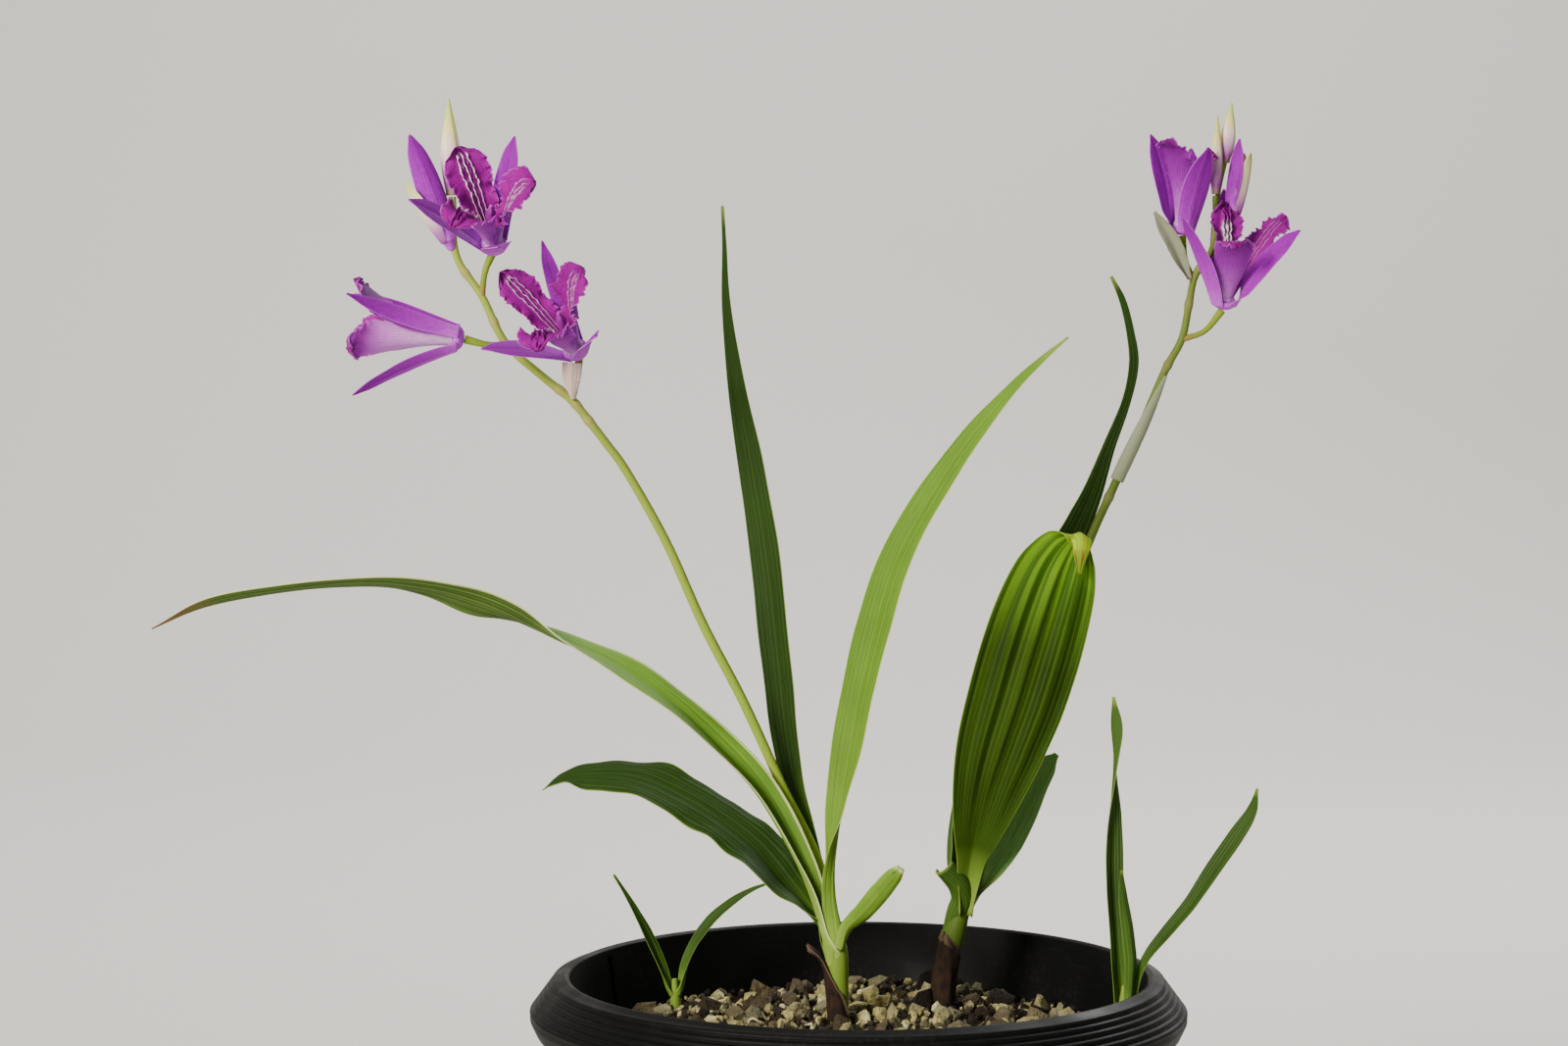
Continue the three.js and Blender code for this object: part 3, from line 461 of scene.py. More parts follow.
@dataclass(frozen=True)
class MouldedPolypropylene(Finish):
    """Black polypropylene of a nursery pot, injection moulded: low satin with scuffs and dust."""

    body: str = "2a2b2b"
    dust: str = "6f6a60"
    scuff: str = "55575a"

    def dress(self, node: Adder) -> Coat:
        """Adds cloudy wear, fine scratches round the pot and patches of dust."""
        place = node("TexCoord").outputs["Object"]
        cloud = node("TexNoise", place, per(18.0), 5.0, 0.6)
        worn = node("MapRange", drawn_out(node, place, (9.0, 9.0, 0.5), 4.0), 0.56, 0.74, 0.0, 0.4)
        scuffed = node("Mix", worn, self.body, self.scuff, data_type="RGBA")
        speck = node("TexNoise", place, per(1.2), 2.0)
        dusty = node("MapRange", node("Math", speck, cloud, operation="MULTIPLY"), 0.3, 0.46, 0.0, 0.5)
        dusted = node("Mix", dusty, scuffed, self.dust, data_type="RGBA")
        return Coat(dusted, speck, 0.25, 0.1, node("MapRange", cloud, 0.3, 0.7, 0.38, 0.62))


@dataclass(frozen=True)
class PumiceAndBark(Finish):
    """Broken pumice, baked clay and bark of an orchid mix: dry, matt and pitted, each bit its own shade."""

    shades: Stops = (
        (0.0, "e0dca8"), (0.22, "cbc384"), (0.42, "ada468"), (0.56, "8c8868"), (0.7, "645c42"),
        (0.84, "34291c"), (1.0, "191410"),
    )
    pit_mm: float = 0.9

    def dress(self, node: Adder) -> Coat:
        """Adds each stone's own shade, grain that is darker where it sinks, painted shade in the pores,
        and a coarse broken surface.
        """
        place = node("TexCoord").outputs["Object"]
        tone = node("Attribute", attribute_name="tone").outputs["Fac"]
        pits = node("TexVoronoi", place, per(self.pit_mm), 2.0)
        grain = node("TexNoise", place, per(1.8), 6.0, 0.7)
        colour = node("ValToRGB", tone, stops=self.shades)
        # The grain darkens each stone where its relief sinks, and the pits darken it as painted shade in the
        # pores.
        for value in (
            node("MapRange", grain, 0.3, 0.7, 0.45, 1.1), node("MapRange", pits, 0.0, 0.35, 0.55, 1.0),
        ):
            colour = node("Mix", 1.0, colour, value, data_type="RGBA", blend_type="MULTIPLY")
        return Coat(colour, node("Math", grain, 1.2, pits, operation="MULTIPLY_ADD"), 0.9, 0.5)


@dataclass(frozen=True)
class StudioPaper(Finish):
    """Seamless paper of a studio floor: pale, matt and very slightly toothed."""

    body: str = "dedbd5"

    def dress(self, node: Adder) -> Coat:
        """Adds the paper's plain colour and its faint tooth."""
        return Coat(self.body, node("TexNoise", node("TexCoord").outputs["Object"], per(2.0)), 0.05, 0.1)


LEAF_DEPTH = (0.5, 0.9, 0.15)
PETAL_DEPTH = (1.2, 0.5, 1.3)
# Leaf A1's cuticle. Past about share 0.6 both faces darken, painted shade over the outer part of the leaf,
# and its bright edge colour is a painted highlight along the margins.
STRAP_LEAF = LeafCuticle(
    "strap_leaf_cuticle", roughness=0.55, ior=1.4, subsurface=0.15, depth=LEAF_DEPTH, specular=0.2,
    stops=(
        (0.0, "9cbc4e"), (0.1, "6a9030"), (0.22, "5a8426"), (0.42, "6a982c"), (0.56, "6a982c"),
        (0.62, "4a6e1c"), (0.93, "547826"), (1.0, "8a5f3c"),
    ),
    under=(
        (0.0, "a3bf5c"), (0.12, "7fa43e"), (0.45, "66882e"), (0.58, "324a14"), (0.92, "3e5a1c"),
        (1.0, "8f5f44"),
    ),
    vein="9cba58", edge="dce4a8", margin=0.86,
)
UPRIGHT_LEAF = replace(
    STRAP_LEAF, name="upright_leaf_cuticle",
    stops=((0.0, "94b44a"), (0.12, "6c902c"), (0.5, "4e741a"), (0.9, "5a8220"), (1.0, "8a9a4a")),
    under=(), vein="86aa48", edge="a8c060", margin=0.94,
)
REAR_LEAF = replace(
    STRAP_LEAF, name="shaded_leaf_cuticle",
    stops=((0.0, "86a444"), (0.1, "446418"), (0.3, "1c3208"), (0.95, "20380a"), (1.0, "7c8040")),
    under=((0.0, "86a444"), (0.12, "466620"), (0.95, "304c14"), (1.0, "7c8040")), vein="426222",
    edge="7c9844", margin=0.95, specular=0.14,
)
# Leaf B2's cuticle: its pale grey-green stands in for the silvery sheen on the leaf, a painted sheen.
SHEEN_PALED_LEAF = replace(
    REAR_LEAF, name="dewy_leaf_cuticle", roughness=0.62,
    stops=((0.0, "8aa850"), (0.2, "648a46"), (1.0, "587e3a")), under=(), vein="789a5a",
)
# Leaf B1's cuticle. The upper stops are dark low down and lighter towards the tip, painted shade; the under
# face's bright yellow-green between shares 0.76 and 0.9 is a painted glow of light through the leaf, and its
# bands are stripes of painted light on the pleats.
PLEATED_LEAF = replace(
    STRAP_LEAF, name="pleated_leaf_cuticle", roughness=0.62, specular=0.08,
    stops=(
        (0.0, "93ad4a"), (0.05, "64822c"), (0.1, "2c4410"), (0.42, "1c3008"), (0.66, "385c10"),
        (1.0, "547818"),
    ),
    under=(
        (0.0, "7c9448"), (0.15, "56702e"), (0.7, "4e6c20"), (0.76, "a4b81c"), (0.9, "b8c020"),
        (0.918, "9c6838"), (0.94, "683626"), (1.0, "583024"),
    ),
    vein="5a7826", edge="86a03c", margin=0.975, vein_mm=1.3, lit_bands=0.8, lit_stripe="72a014",
)
YOUNG_LEAF = replace(
    STRAP_LEAF, name="young_leaf_cuticle",
    stops=((0.0, "8cac44"), (0.3, "668c2a"), (0.93, "6c922e"), (1.0, "c2cf84")), under=(), edge="8eae48",
    margin=0.95, vein_mm=0.8, vein_show=0.12,
)
# A darker copy for the young shoots: their deepened greens are painted shade.
SHOOT_LEAF = replace(
    REAR_LEAF, name="shoot_leaf_cuticle", specular=0.18,
    stops=((0.0, "7c9c3c"), (0.16, "3a5a1a"), (0.35, "223c0c"), (0.95, "26400e"), (1.0, "708638")),
    under=((0.0, "7c9c3c"), (0.16, "40601e"), (0.95, "2e4a16"), (1.0, "708638")), vein="6c8a38",
    vein_mm=0.8, vein_show=0.3,
)
SEPAL_TISSUE = PetalTissue(
    "sepal_tissue", roughness=0.6, subsurface=0.5, depth=PETAL_DEPTH, specular=0.06,
)
# The lip's outer face darkens towards the tip, partly its own deep purple and partly painted shade.
LIP_TISSUE = PetalTissue(
    "lip_tissue", roughness=0.58, subsurface=0.3, depth=PETAL_DEPTH, specular=0.08,
    stops=((0.0, "c040bc"), (0.2, "a01098"), (0.6, "8c0a86"), (1.0, "7c0878")),
    outer=((0.0, "d49cdc"), (0.2, "b458c4"), (0.5, "8e28a2"), (0.85, "6e0c7c"), (1.0, "68086e")),
    vein="560458", edge="c060cc", mottle=0.22,
)
# A lit copy of the lip tissue: its paler outer face is painted light.
LIT_LIP_TISSUE = replace(
    LIP_TISSUE, name="painted_light_lip_tissue",
    outer=((0.0, "e8c4ec"), (0.3, "dca8e4"), (0.6, "cc80d8"), (0.82, "a02cac"), (1.0, "7a0a82")),
    vein="a04cae",
)
COLUMN_TISSUE = replace(
    SEPAL_TISSUE, name="column_tissue",
    stops=((0.0, "e0bce6"), (0.5, "b44cbc"), (0.85, "8c1c92"), (1.0, "a84cac")), outer=(), mottle=0.1,
)
CREAM_SEPAL = replace(
    SEPAL_TISSUE, name="cream_sepal_tissue",
    stops=((0.0, "8a2c98"), (0.2, "b47cb4"), (0.5, "e2d2bc"), (0.8, "d8dc94"), (1.0, "b8ca54")),
    outer=((0.0, "8a2c98"), (0.18, "ac68b0"), (0.42, "e0ccbe"), (0.75, "dcdf9c"), (1.0, "b8ca54")),
    vein="b38fb0", edge="efe9d2", mottle=0.1,
)
BUD_SKIN = replace(
    SEPAL_TISSUE, name="bud_skin",
    stops=(
        (0.0, "7d7a30"), (0.12, "8c3c92"), (0.3, "cfa0c4"), (0.5, "f0e2cc"), (0.7, "dde67c"),
        (1.0, "a6cc34"),
    ),
    outer=(), vein="c090b8", edge="a84cb4", mottle=0.1,
)
SCAPE_SKIN = StalkSkin(
    "scape_skin", roughness=0.48, subsurface=0.08, depth=LEAF_DEPTH, specular=0.12,
    stops=((0.0, "86a42c"), (0.35, "88a034"), (0.7, "7f9234"), (1.0, "92a83c")), flush="a48a62",
    streak="74883a",
)
DARK_SCAPE_SKIN = replace(
    SCAPE_SKIN, name="shaded_scape_skin",
    stops=((0.0, "7c9434"), (0.3, "667a2a"), (0.6, "566826"), (1.0, "687a30")), flush="7c7a4a",
    streak="46561e",
)
PEDICEL_SKIN = replace(
    SCAPE_SKIN, name="pedicel_skin",
    stops=((0.0, "8c6c44"), (0.3, "78842c"), (0.6, "768c26"), (1.0, "7e982a")), streak="64762a",
)
PSEUDOSTEM_SKIN = replace(
    SCAPE_SKIN, name="pseudostem_skin", stops=((0.0, "5c6c2a"), (0.45, "6f8c30"), (1.0, "7c9a38")),
    streak="5e7a2c",
)
SHADED_PSEUDOSTEM_SKIN = replace(
    PSEUDOSTEM_SKIN, name="shaded_pseudostem_skin", stops=((0.0, "4a5a22"), (1.0, "567026")),
    streak="40561c",
)
BROWN_SHEATH = DriedSheath(
    "dried_sheath", roughness=0.85, body="2a1a10", dark="120b07", fibre="3e2e1e", edge="6c5a44",
)
PAPERY_BRACT = DriedSheath(
    "papery_bract", roughness=0.8, body="b8a498", dark="8a7468", fibre="ded0c4", edge="8c6a44",
    fibre_mm=0.5,
)
GREEN_BRACT = replace(
    PAPERY_BRACT, name="green_bract", body="666d50", dark="444c36", fibre="84886e", edge="989a80",
)
POT_PLASTIC = MouldedPolypropylene(
    "moulded_polypropylene", roughness=0.55, ior=1.49, specular=0.08, body="0b0c0c", dust="242320",
    scuff="17191a",
)
POTTING_GRIT = PumiceAndBark("pumice_and_bark", roughness=0.92)
DARK_BED = replace(
    POTTING_GRIT, name="bark_and_fines", shades=((0.0, "54432f"), (0.5, "3d2f22"), (1.0, "2b2119")),
)
SEAMLESS_PAPER = StudioPaper("seamless_paper", roughness=0.85)


# ------------------------------------------------------------ meshes
def piece_of(
    name: str, mesh: bpy.types.Mesh, finish: Finish, nodes: Iterable[str],
) -> bpy.types.Object:
    """Stands a finished mesh in the scene as one piece of the plant.

    Args:
        name: the piece's name.
        mesh: its mesh, in metres.
        finish: what it is finished with, unless the mesh has its materials already.
        nodes: the CAD nodes that it stands for.

    Returns:
        The piece.
    """
    mesh.name = name
    if not mesh.materials:
        mesh.materials.append(finish.material())
    piece = bpy.data.objects.new(f"{name}_skin", mesh)
    bpy.context.scene.collection.objects.link(piece)
    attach(piece, "root")
    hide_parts(*nodes)
    mesh.calc_loop_triangles()
    log.info("%s: %d triangles for %s", name, len(mesh.loop_triangles), ", ".join(nodes))
    return piece


def mesh_of(
    name: str, points: np.ndarray, faces: Iterable[tuple[int, ...]],
    edges: Iterable[tuple[int, int]] = (),
) -> bpy.types.Mesh:
    """Makes a mesh in metres.

    Args:
        name: the mesh's name.
        points: its points in millimetres.
        faces: its faces, as rows of point numbers.
        edges: its loose edges, as pairs of them.

    Returns:
        The mesh.
    """
    mesh = bpy.data.meshes.new(name)
    mesh.from_pydata((points * MM).tolist(), list(edges), list(faces))
    return mesh


def baked(body: bmesh.types.BMesh, name: str) -> bpy.types.Mesh:
    """Turns a mesh that was being edited into a plain one of this name, and frees it."""
    mesh = bpy.data.meshes.new(name)
    body.to_mesh(mesh)
    body.free()
    return mesh


def mark(mesh: bpy.types.Mesh, name: str, values: np.ndarray) -> None:
    """Keeps a number or a vector at each point of a mesh, under this name."""
    kind, key = ("FLOAT_VECTOR", "vector") if values.ndim > 1 else ("FLOAT", "value")
    mesh.attributes.new(name, kind, "POINT").data.foreach_set(key, values.astype(np.float32).ravel())


def lathe(profile: Sequence[Row], sides: int) -> np.ndarray:
    """Turns radius and height pairs round the Z axis, into rows of that many points."""
    angle = np.linspace(0, 2 * np.pi, sides, endpoint=False)
    radius, height = np.asarray(profile, float).T[..., None]
    return field(radius * np.cos(angle), radius * np.sin(angle), height)


def ring_faces(rows: int, sides: int) -> list[tuple[int, ...]]:
    """Gives the faces of a closed tube whose foot and tip come after its rings.

    Args:
        rows: how many rings it has.
        sides: how many points are on each, anticlockwise when seen from the tip.

    Returns:
        The faces, as rows of point numbers.
    """
    foot, tip = rows * sides, rows * sides + 1
    faces: list[tuple[int, ...]] = []
    for j in range(sides):
        k = (j + 1) % sides
        for low in range(0, foot - sides, sides):
            faces.append((low + j, low + k, low + sides + k, low + sides + j))
        faces += [(foot, k, j), (tip, foot - sides + j, foot - sides + k)]
    return faces


class Shell:
    """Collects the closed sheets and tubes of one piece, and what its finish reads at each point."""

    def __init__(self) -> None:
        """Starts with nothing in it."""
        self.points: list[np.ndarray] = []
        self.channels: dict[str, list[np.ndarray]] = {"tissue": [], "lamina": [], "upper": []}
        self.faces: list[tuple[int, ...]] = []
        self.face_materials: list[int] = []
        self.count = 0

    def add(
        self, points: np.ndarray, faces: Iterable[tuple[int, ...]], tissue: np.ndarray,
        lamina: np.ndarray, upper: np.ndarray, material: int = 0,
    ) -> None:
        """Adds one closed surface.

        Args:
            points: its points in millimetres.
            faces: its faces, as rows of point numbers.
            tissue: share along, share across and crest or flush at each point.
            lamina: millimetres along and across at each point.
            upper: 1 on the upper or inner face and 0 on the other.
            material: the number of its material.
        """
        before = len(self.faces)
        self.faces.extend(tuple(i + self.count for i in face) for face in faces)
        self.face_materials.extend([material] * (len(self.faces) - before))
        self.points.append(points.reshape(-1, 3))
        self.channels["tissue"].append(tissue.reshape(-1, 3))
        self.channels["lamina"].append(lamina.reshape(-1, 3) * MM)
        self.channels["upper"].append(upper.reshape(-1))
        self.count += len(self.points[-1])

    def sheet(
        self, middle: np.ndarray, half: np.ndarray, tissue: np.ndarray, lamina: np.ndarray,
        rise: np.ndarray | None = None, material: int = 0,
    ) -> None:
        """Adds a thin closed blade over a grid of points, thinned away at its margins.

        Args:
            middle: the middle of the sheet, as rows along it of points across it.
            half: half its thickness at each point.
            tissue: share along, share across and crest at each point.
            lamina: millimetres along and across at each point.
            rise: how far the upper face stands proud of that, at each point.
            material: the number of its material.
        """
        rows, columns = middle.shape[0], middle.shape[1]
        normal = unit(np.cross(np.gradient(middle, axis=1), np.gradient(middle, axis=0)))
        lift = half if rise is None else half + rise
        front = middle + normal * lift[..., None]
        front[:, 0], front[:, -1] = middle[:, 0], middle[:, -1]
        back = (middle - normal * half[..., None])[:, 1:-1]
        inner = columns - 2
        base = rows * columns

        def top(i: int, j: int) -> int:
            return i * columns + j

        def bottom(i: int, j: int) -> int:
            return top(i, j) if j in (0, columns - 1) else base + i * inner + j - 1

        faces: list[tuple[int, ...]] = []
        for i in range(rows - 1):
            for j in range(columns - 1):
                faces.append((top(i, j), top(i, j + 1), top(i + 1, j + 1), top(i + 1, j)))
                faces.append((bottom(i, j), bottom(i + 1, j), bottom(i + 1, j + 1), bottom(i, j + 1)))
        for j in range(columns - 1):
            foot = (top(0, j), bottom(0, j), bottom(0, j + 1), top(0, j + 1))
            tip = (top(rows - 1, j + 1), bottom(rows - 1, j + 1), bottom(rows - 1, j), top(rows - 1, j))
            faces.extend(tuple(dict.fromkeys(face)) for face in (foot, tip))
        faces = [face for face in faces if len(face) > 2]
        upper = np.ones((rows, columns))
        upper[:, 0] = upper[:, -1] = 0.5
        below = tissue[:, 1:-1].copy()
        below[..., 2] = 0
        self.add(
            np.vstack([front.reshape(-1, 3), back.reshape(-1, 3)]), faces,
            np.vstack([tissue.reshape(-1, 3), below.reshape(-1, 3)]),
            np.vstack([lamina.reshape(-1, 3), lamina[:, 1:-1].reshape(-1, 3)]),
            np.concatenate([upper.reshape(-1), np.zeros(rows * inner)]), material,
        )

    def tube(self, rings: np.ndarray, tissue: np.ndarray, lamina: np.ndarray) -> None:
        """Adds a closed tube.

        Args:
            rings: rows along it of points round it, anticlockwise when seen from its far end.
            tissue: share along, share round and crest or flush at each point.
            lamina: millimetres along and round at each point.
        """
        ends = np.stack([rings[0].mean(0), rings[-1].mean(0)])
        self.add(
            np.vstack([rings.reshape(-1, 3), ends]), ring_faces(*rings.shape[:2]),
            np.vstack([tissue.reshape(-1, 3), tissue[0, :1], tissue[-1, :1]]),
            np.vstack([lamina.reshape(-1, 3), lamina[0, :1], lamina[-1, :1]]),
            np.zeros(rings[..., 0].size + len(ends)),
        )

    def mesh(self, name: str, finishes: Sequence[Finish] = ()) -> bpy.types.Mesh:
        """Makes the mesh of all that was added, in metres.

        Args:
            name: the mesh's name.
            finishes: its materials in the order of their numbers.

        Returns:
            The mesh, shaded smooth.
        """
        mesh = mesh_of(name, np.vstack(self.points), self.faces)
        for channel, rows in self.channels.items():
            mark(mesh, channel, np.concatenate(rows))
        for finish in finishes:
            mesh.materials.append(finish.material())
        mesh.polygons.foreach_set("material_index", self.face_materials)
        mesh.shade_smooth()
        mesh.validate()
        return mesh


# ------------------------------------------------------------ geometry nodes
class Growth:
    """A Geometry Nodes tree with named inputs, and the mesh that it grows on an object."""

    def __init__(self, name: str, inputs: dict[str, str]) -> None:
        """Starts a tree.

        Args:
            name: the tree's name.
            inputs: the socket type of each named input.
        """
        self.tree = bpy.data.node_groups.new(name, "GeometryNodeTree")
        self.node = partial(add_node, self.tree)
        face = self.tree.interface
        face.new_socket("Geometry", in_out="INPUT", socket_type="NodeSocketGeometry")
        self.keys = {
            label: face.new_socket(label, in_out="INPUT", socket_type=kind).identifier
            for label, kind in inputs.items()
        }
        face.new_socket("Geometry", in_out="OUTPUT", socket_type="NodeSocketGeometry")
        self.given = self.node("NodeGroupInput").outputs

    def close(self, geometry: bpy.types.Node, material: bpy.types.NodeSocket) -> None:
        """Ends the tree in real meshes with their material.

        Args:
            geometry: what the tree has made.
            material: the material to give it.
        """
        real = self.node("GeometryNodeRealizeInstances", geometry)
        dressed = self.node("GeometryNodeSetMaterial", named={"Geometry": real, "Material": material})
        self.node("NodeGroupOutput", dressed)

    def grow(self, ground: bpy.types.Mesh, values: dict[str, object]) -> bpy.types.Mesh:
        """Grows the tree on a mesh.

        Args:
            ground: the mesh that it starts from.
            values: a value for each named input.

        Returns:
            The plain mesh that it made.
        """
        carrier = bpy.data.objects.new("carrier", ground)
        bpy.context.scene.collection.objects.link(carrier)
        growth = carrier.modifiers.new("growth", "NODES")
        growth.node_group = self.tree
        for label, value in values.items():
            growth[self.keys[label]] = value
        depsgraph = bpy.context.evaluated_depsgraph_get()
        grown = bpy.data.meshes.new_from_object(
            carrier.evaluated_get(depsgraph), preserve_all_data_layers=True, depsgraph=depsgraph,
        )
        carrier.modifiers.remove(growth)
        bpy.data.objects.remove(carrier)
        return grown


@dataclass(frozen=True)
class Strand:
    """One round stalk: its route, its radii, the swellings on it and how flushed its ends are."""

    route: Sequence[Row]
    radii: Row
    nodes: tuple[float, ...] = ()
    flush: tuple[float, float] = (0.0, 0.0)
    swelling: float = 0.22
    wander: float = 0.0
    seed: int = 1
    step_mm: float = 1.6

    def line(self) -> tuple[np.ndarray, np.ndarray, np.ndarray]:
        """Gives the strand's points, radii and tissue values.

        Returns:
            Points in millimetres, a radius for each, and share along, flush and nothing for each.
        """
        route = np.asarray(self.route, float)
        fine = catmull(route, np.linspace(0, 1, 400), True)
        reach = distance_along(fine)
        count = max(6, int(reach[-1] / self.step_mm))
        marks = set(np.linspace(0, 1, count))
        for node in self.nodes:
            marks.update(np.clip(node + np.array([-2, -1, -0.4, 0, 0.4, 1, 2]) * 0.6 / reach[-1], 0, 1))
        share = np.array(sorted(marks))
        points = np.stack([np.interp(share * reach[-1], reach, fine[:, k]) for k in range(3)], axis=1)
        radii = along(self.radii, share)
        flush = self.flush[0] * (1 - smooth(share, 0, 0.3)) + self.flush[1] * smooth(share, 0.7, 1)
        for node in self.nodes:
            near = np.exp(-(((share - node) * reach[-1] / 1.1) ** 2))
            radii = radii + self.swelling * near
            flush = np.maximum(flush, 0.45 * np.exp(-(((share - node) * reach[-1] / 1.6) ** 2)))
        if self.wander:
            points[:, 0] += self.wander * waves(share, self.seed, 1.5) * np.sin(np.pi * share)
            points[:, 1] += self.wander * waves(share, self.seed + 1, 1.5) * np.sin(np.pi * share)
        return points, radii, np.stack([share, flush, np.zeros_like(share)], axis=1)


class StalkGrowth(Growth):
    """Sweeps a round section along strands, with Geometry Nodes."""

    def __init__(self) -> None:
        """Builds the tree: mesh lines to curves, a circle swept along them with each point's girth."""
        kinds = {"Sides": "NodeSocketInt", "Girth": "NodeSocketFloat", "Skin": "NodeSocketMaterial"}
        super().__init__("stalk_growth", kinds)
        lines = self.node("GeometryNodeMeshToCurve", self.given["Geometry"])
        section = self.node(
            "GeometryNodeCurvePrimitiveCircle", named={"Resolution": self.given["Sides"], "Radius": 1.0},
        )
        girth = self.node("GeometryNodeInputNamedAttribute", "girth", data_type="FLOAT")
        radius = self.node("Math", girth, self.given["Girth"], operation="MULTIPLY")
        swept = self.node(
            "GeometryNodeCurveToMesh",
            named={"Curve": lines, "Profile Curve": section, "Scale": radius, "Fill Caps": True},
        )
        self.close(self.node("GeometryNodeSetShadeSmooth", swept), self.given["Skin"])

    def mesh(self, strands: Sequence[Strand], finish: Finish, sides: int = 20) -> bpy.types.Mesh:
        """Sweeps the strands.

        Args:
            strands: the strands of one piece.
            finish: their skin.
            sides: how many sides the round section has.

        Returns:
            The mesh of all the strands.
        """
        points, girths, tissues = zip(*(strand.line() for strand in strands))
        edges: list[tuple[int, int]] = []
        count = 0
        for line in points:
            edges.extend((count + i, count + i + 1) for i in range(len(line) - 1))
            count += len(line)
        ground = mesh_of("lines", np.vstack(points), (), edges)
        mark(ground, "girth", np.concatenate(girths) * MM)
        mark(ground, "tissue", np.vstack(tissues))
        return self.grow(ground, {"Sides": sides, "Girth": 1.0, "Skin": finish.material()})


# ------------------------------------------------------------ leaves and sheaths
def edge_columns(columns: int) -> np.ndarray:
    """Gives places across a sheet from -1 to 1, closer together at its margins."""
    return np.sin(np.linspace(-np.pi / 2, np.pi / 2, columns + 1))


@dataclass
class Leaf:
    """A leaf along stations of [x, y, z, width, turn, fold], with the upper face towards its stem.

    `flute` is the depth of the shallow channels between its main veins, `ripple` how far its margins wave,
    and `pleats` with `pleat_height` corrugate a pleated leaf lengthwise. Over the share `clasp` its foot
    changes from a round sheath of `stem_radius` to the folded blade.
    """

    name: str
    bearing: float
    stations: Sequence[Row]
    finish: Finish = STRAP_LEAF
    slot: str = "leaf"
    pleats: float = 0.0
    pleat_height: float = 0.0
    thickness: float = 0.5
    flute: float = 0.16
    flutes: float = 3.0
    ripple: float = 0.35
    rows: int = 110
    columns: int = 30
    seed: int = 1
    crease: float = 0.45
    arch: float = 0.05
    clasp: float = 0.0
    stem_radius: float = 2.9

    def grid(self) -> tuple[np.ndarray, np.ndarray, np.ndarray, np.ndarray]:
        """Lays out the middle of the leaf.

        Returns:
            Points, half thickness, tissue and lamina values, as rows along it and columns across it.
        """
        stations = np.asarray(self.stations, float)
        share = np.linspace(0, 1, self.rows + 1)
        across = edge_columns(self.columns)
        centre = catmull(stations[:, :3], share, True)
        direction = tangents(stations[:, :3], share)
        width, turn, fold = (along(stations[:, k], share) for k in (3, 4, 5))
        held = 1 - smooth(share, 0, self.clasp) if self.clasp else np.zeros_like(share)
        width = np.maximum(width, 0.5) * (1 + 0.45 * held)
        lean = math.radians(self.bearing)
        level = np.array([math.sin(lean), -math.cos(lean), 0.0])
        side = unit(level - direction * (direction @ level)[:, None])
        face = np.cross(side, direction)
        side = turned(side, direction, -np.radians(turn))
        face = turned(face, direction, -np.radians(turn))
        t = across[None, :]
        half = (width / 2)[:, None]
        reach = half * np.abs(t)
        lift = np.radians(fold)[:, None]
        round_crease = np.sqrt(reach**2 + self.crease**2) - self.crease * (1 - np.abs(t))
        strength = self.pleat_height * np.minimum(1, width / 20) * smooth(share, 0.08, 0.3)
        strength = strength * (1 - 0.9 * smooth(share, 0.5, 0.74))
        uneven = t + 0.05 * np.sin(5.3 * t + 1.1)
        folds = np.cos(np.pi * self.pleats * uneven) + 0.22 * np.cos(2.6 * np.pi * self.pleats * t)
        pleat = strength[:, None] * folds
        wide = np.minimum(1, width / 8)[:, None]
        flute = self.flute * wide * np.cos(2 * np.pi * self.flutes * t) * (1 - np.abs(t) ** 6)
        fade = np.sin(np.pi * share)[:, None] ** 0.5
        left, right = waves(share, self.seed, 3.0)[:, None], waves(share, self.seed + 7, 3.4)[:, None]
        ripple = self.ripple * wide * fade * np.abs(t) ** 2.5 * np.where(t < 0, left, right)
        bow = self.arch * width[:, None] * (1 - t**2) * wide
        out = np.sign(t) * reach * np.cos(lift)
        up = (round_crease - width[:, None] / 4) * np.sin(lift) + pleat + flute + ripple + bow
        radius = self.stem_radius * (0.62 + 0.38 * smooth(share, 0.0, 0.07))[:, None]
        bend = np.minimum(reach / radius, 2.8)
        held = held[:, None]
        out = out * (1 - held) + np.sign(t) * radius * np.sin(bend) * held
        up = up * (1 - held) + (radius * (1 - np.cos(bend)) - 0.5 * radius) * held
        middle = centre[:, None] + side[:, None] * out[..., None] + face[:, None] * up[..., None]
        thin = np.sqrt(np.clip(1 - np.abs(t) ** 5, 0, 1)) * np.minimum(1, width / 4)[:, None]
        length = distance_along(centre)[:, None] + 37.0 * self.seed
        lamina = field(length, t * stations[:, 3].max() / 2, 0.0)
        return middle, self.thickness / 2 * thin, field(share[:, None], t, 0.0), lamina

    def build(self) -> bpy.types.Object:
        """Makes the leaf and dresses it."""
        shell = Shell()
        shell.sheet(*self.grid())
        return piece_of(self.name, shell.mesh(self.name), self.finish, [self.name])


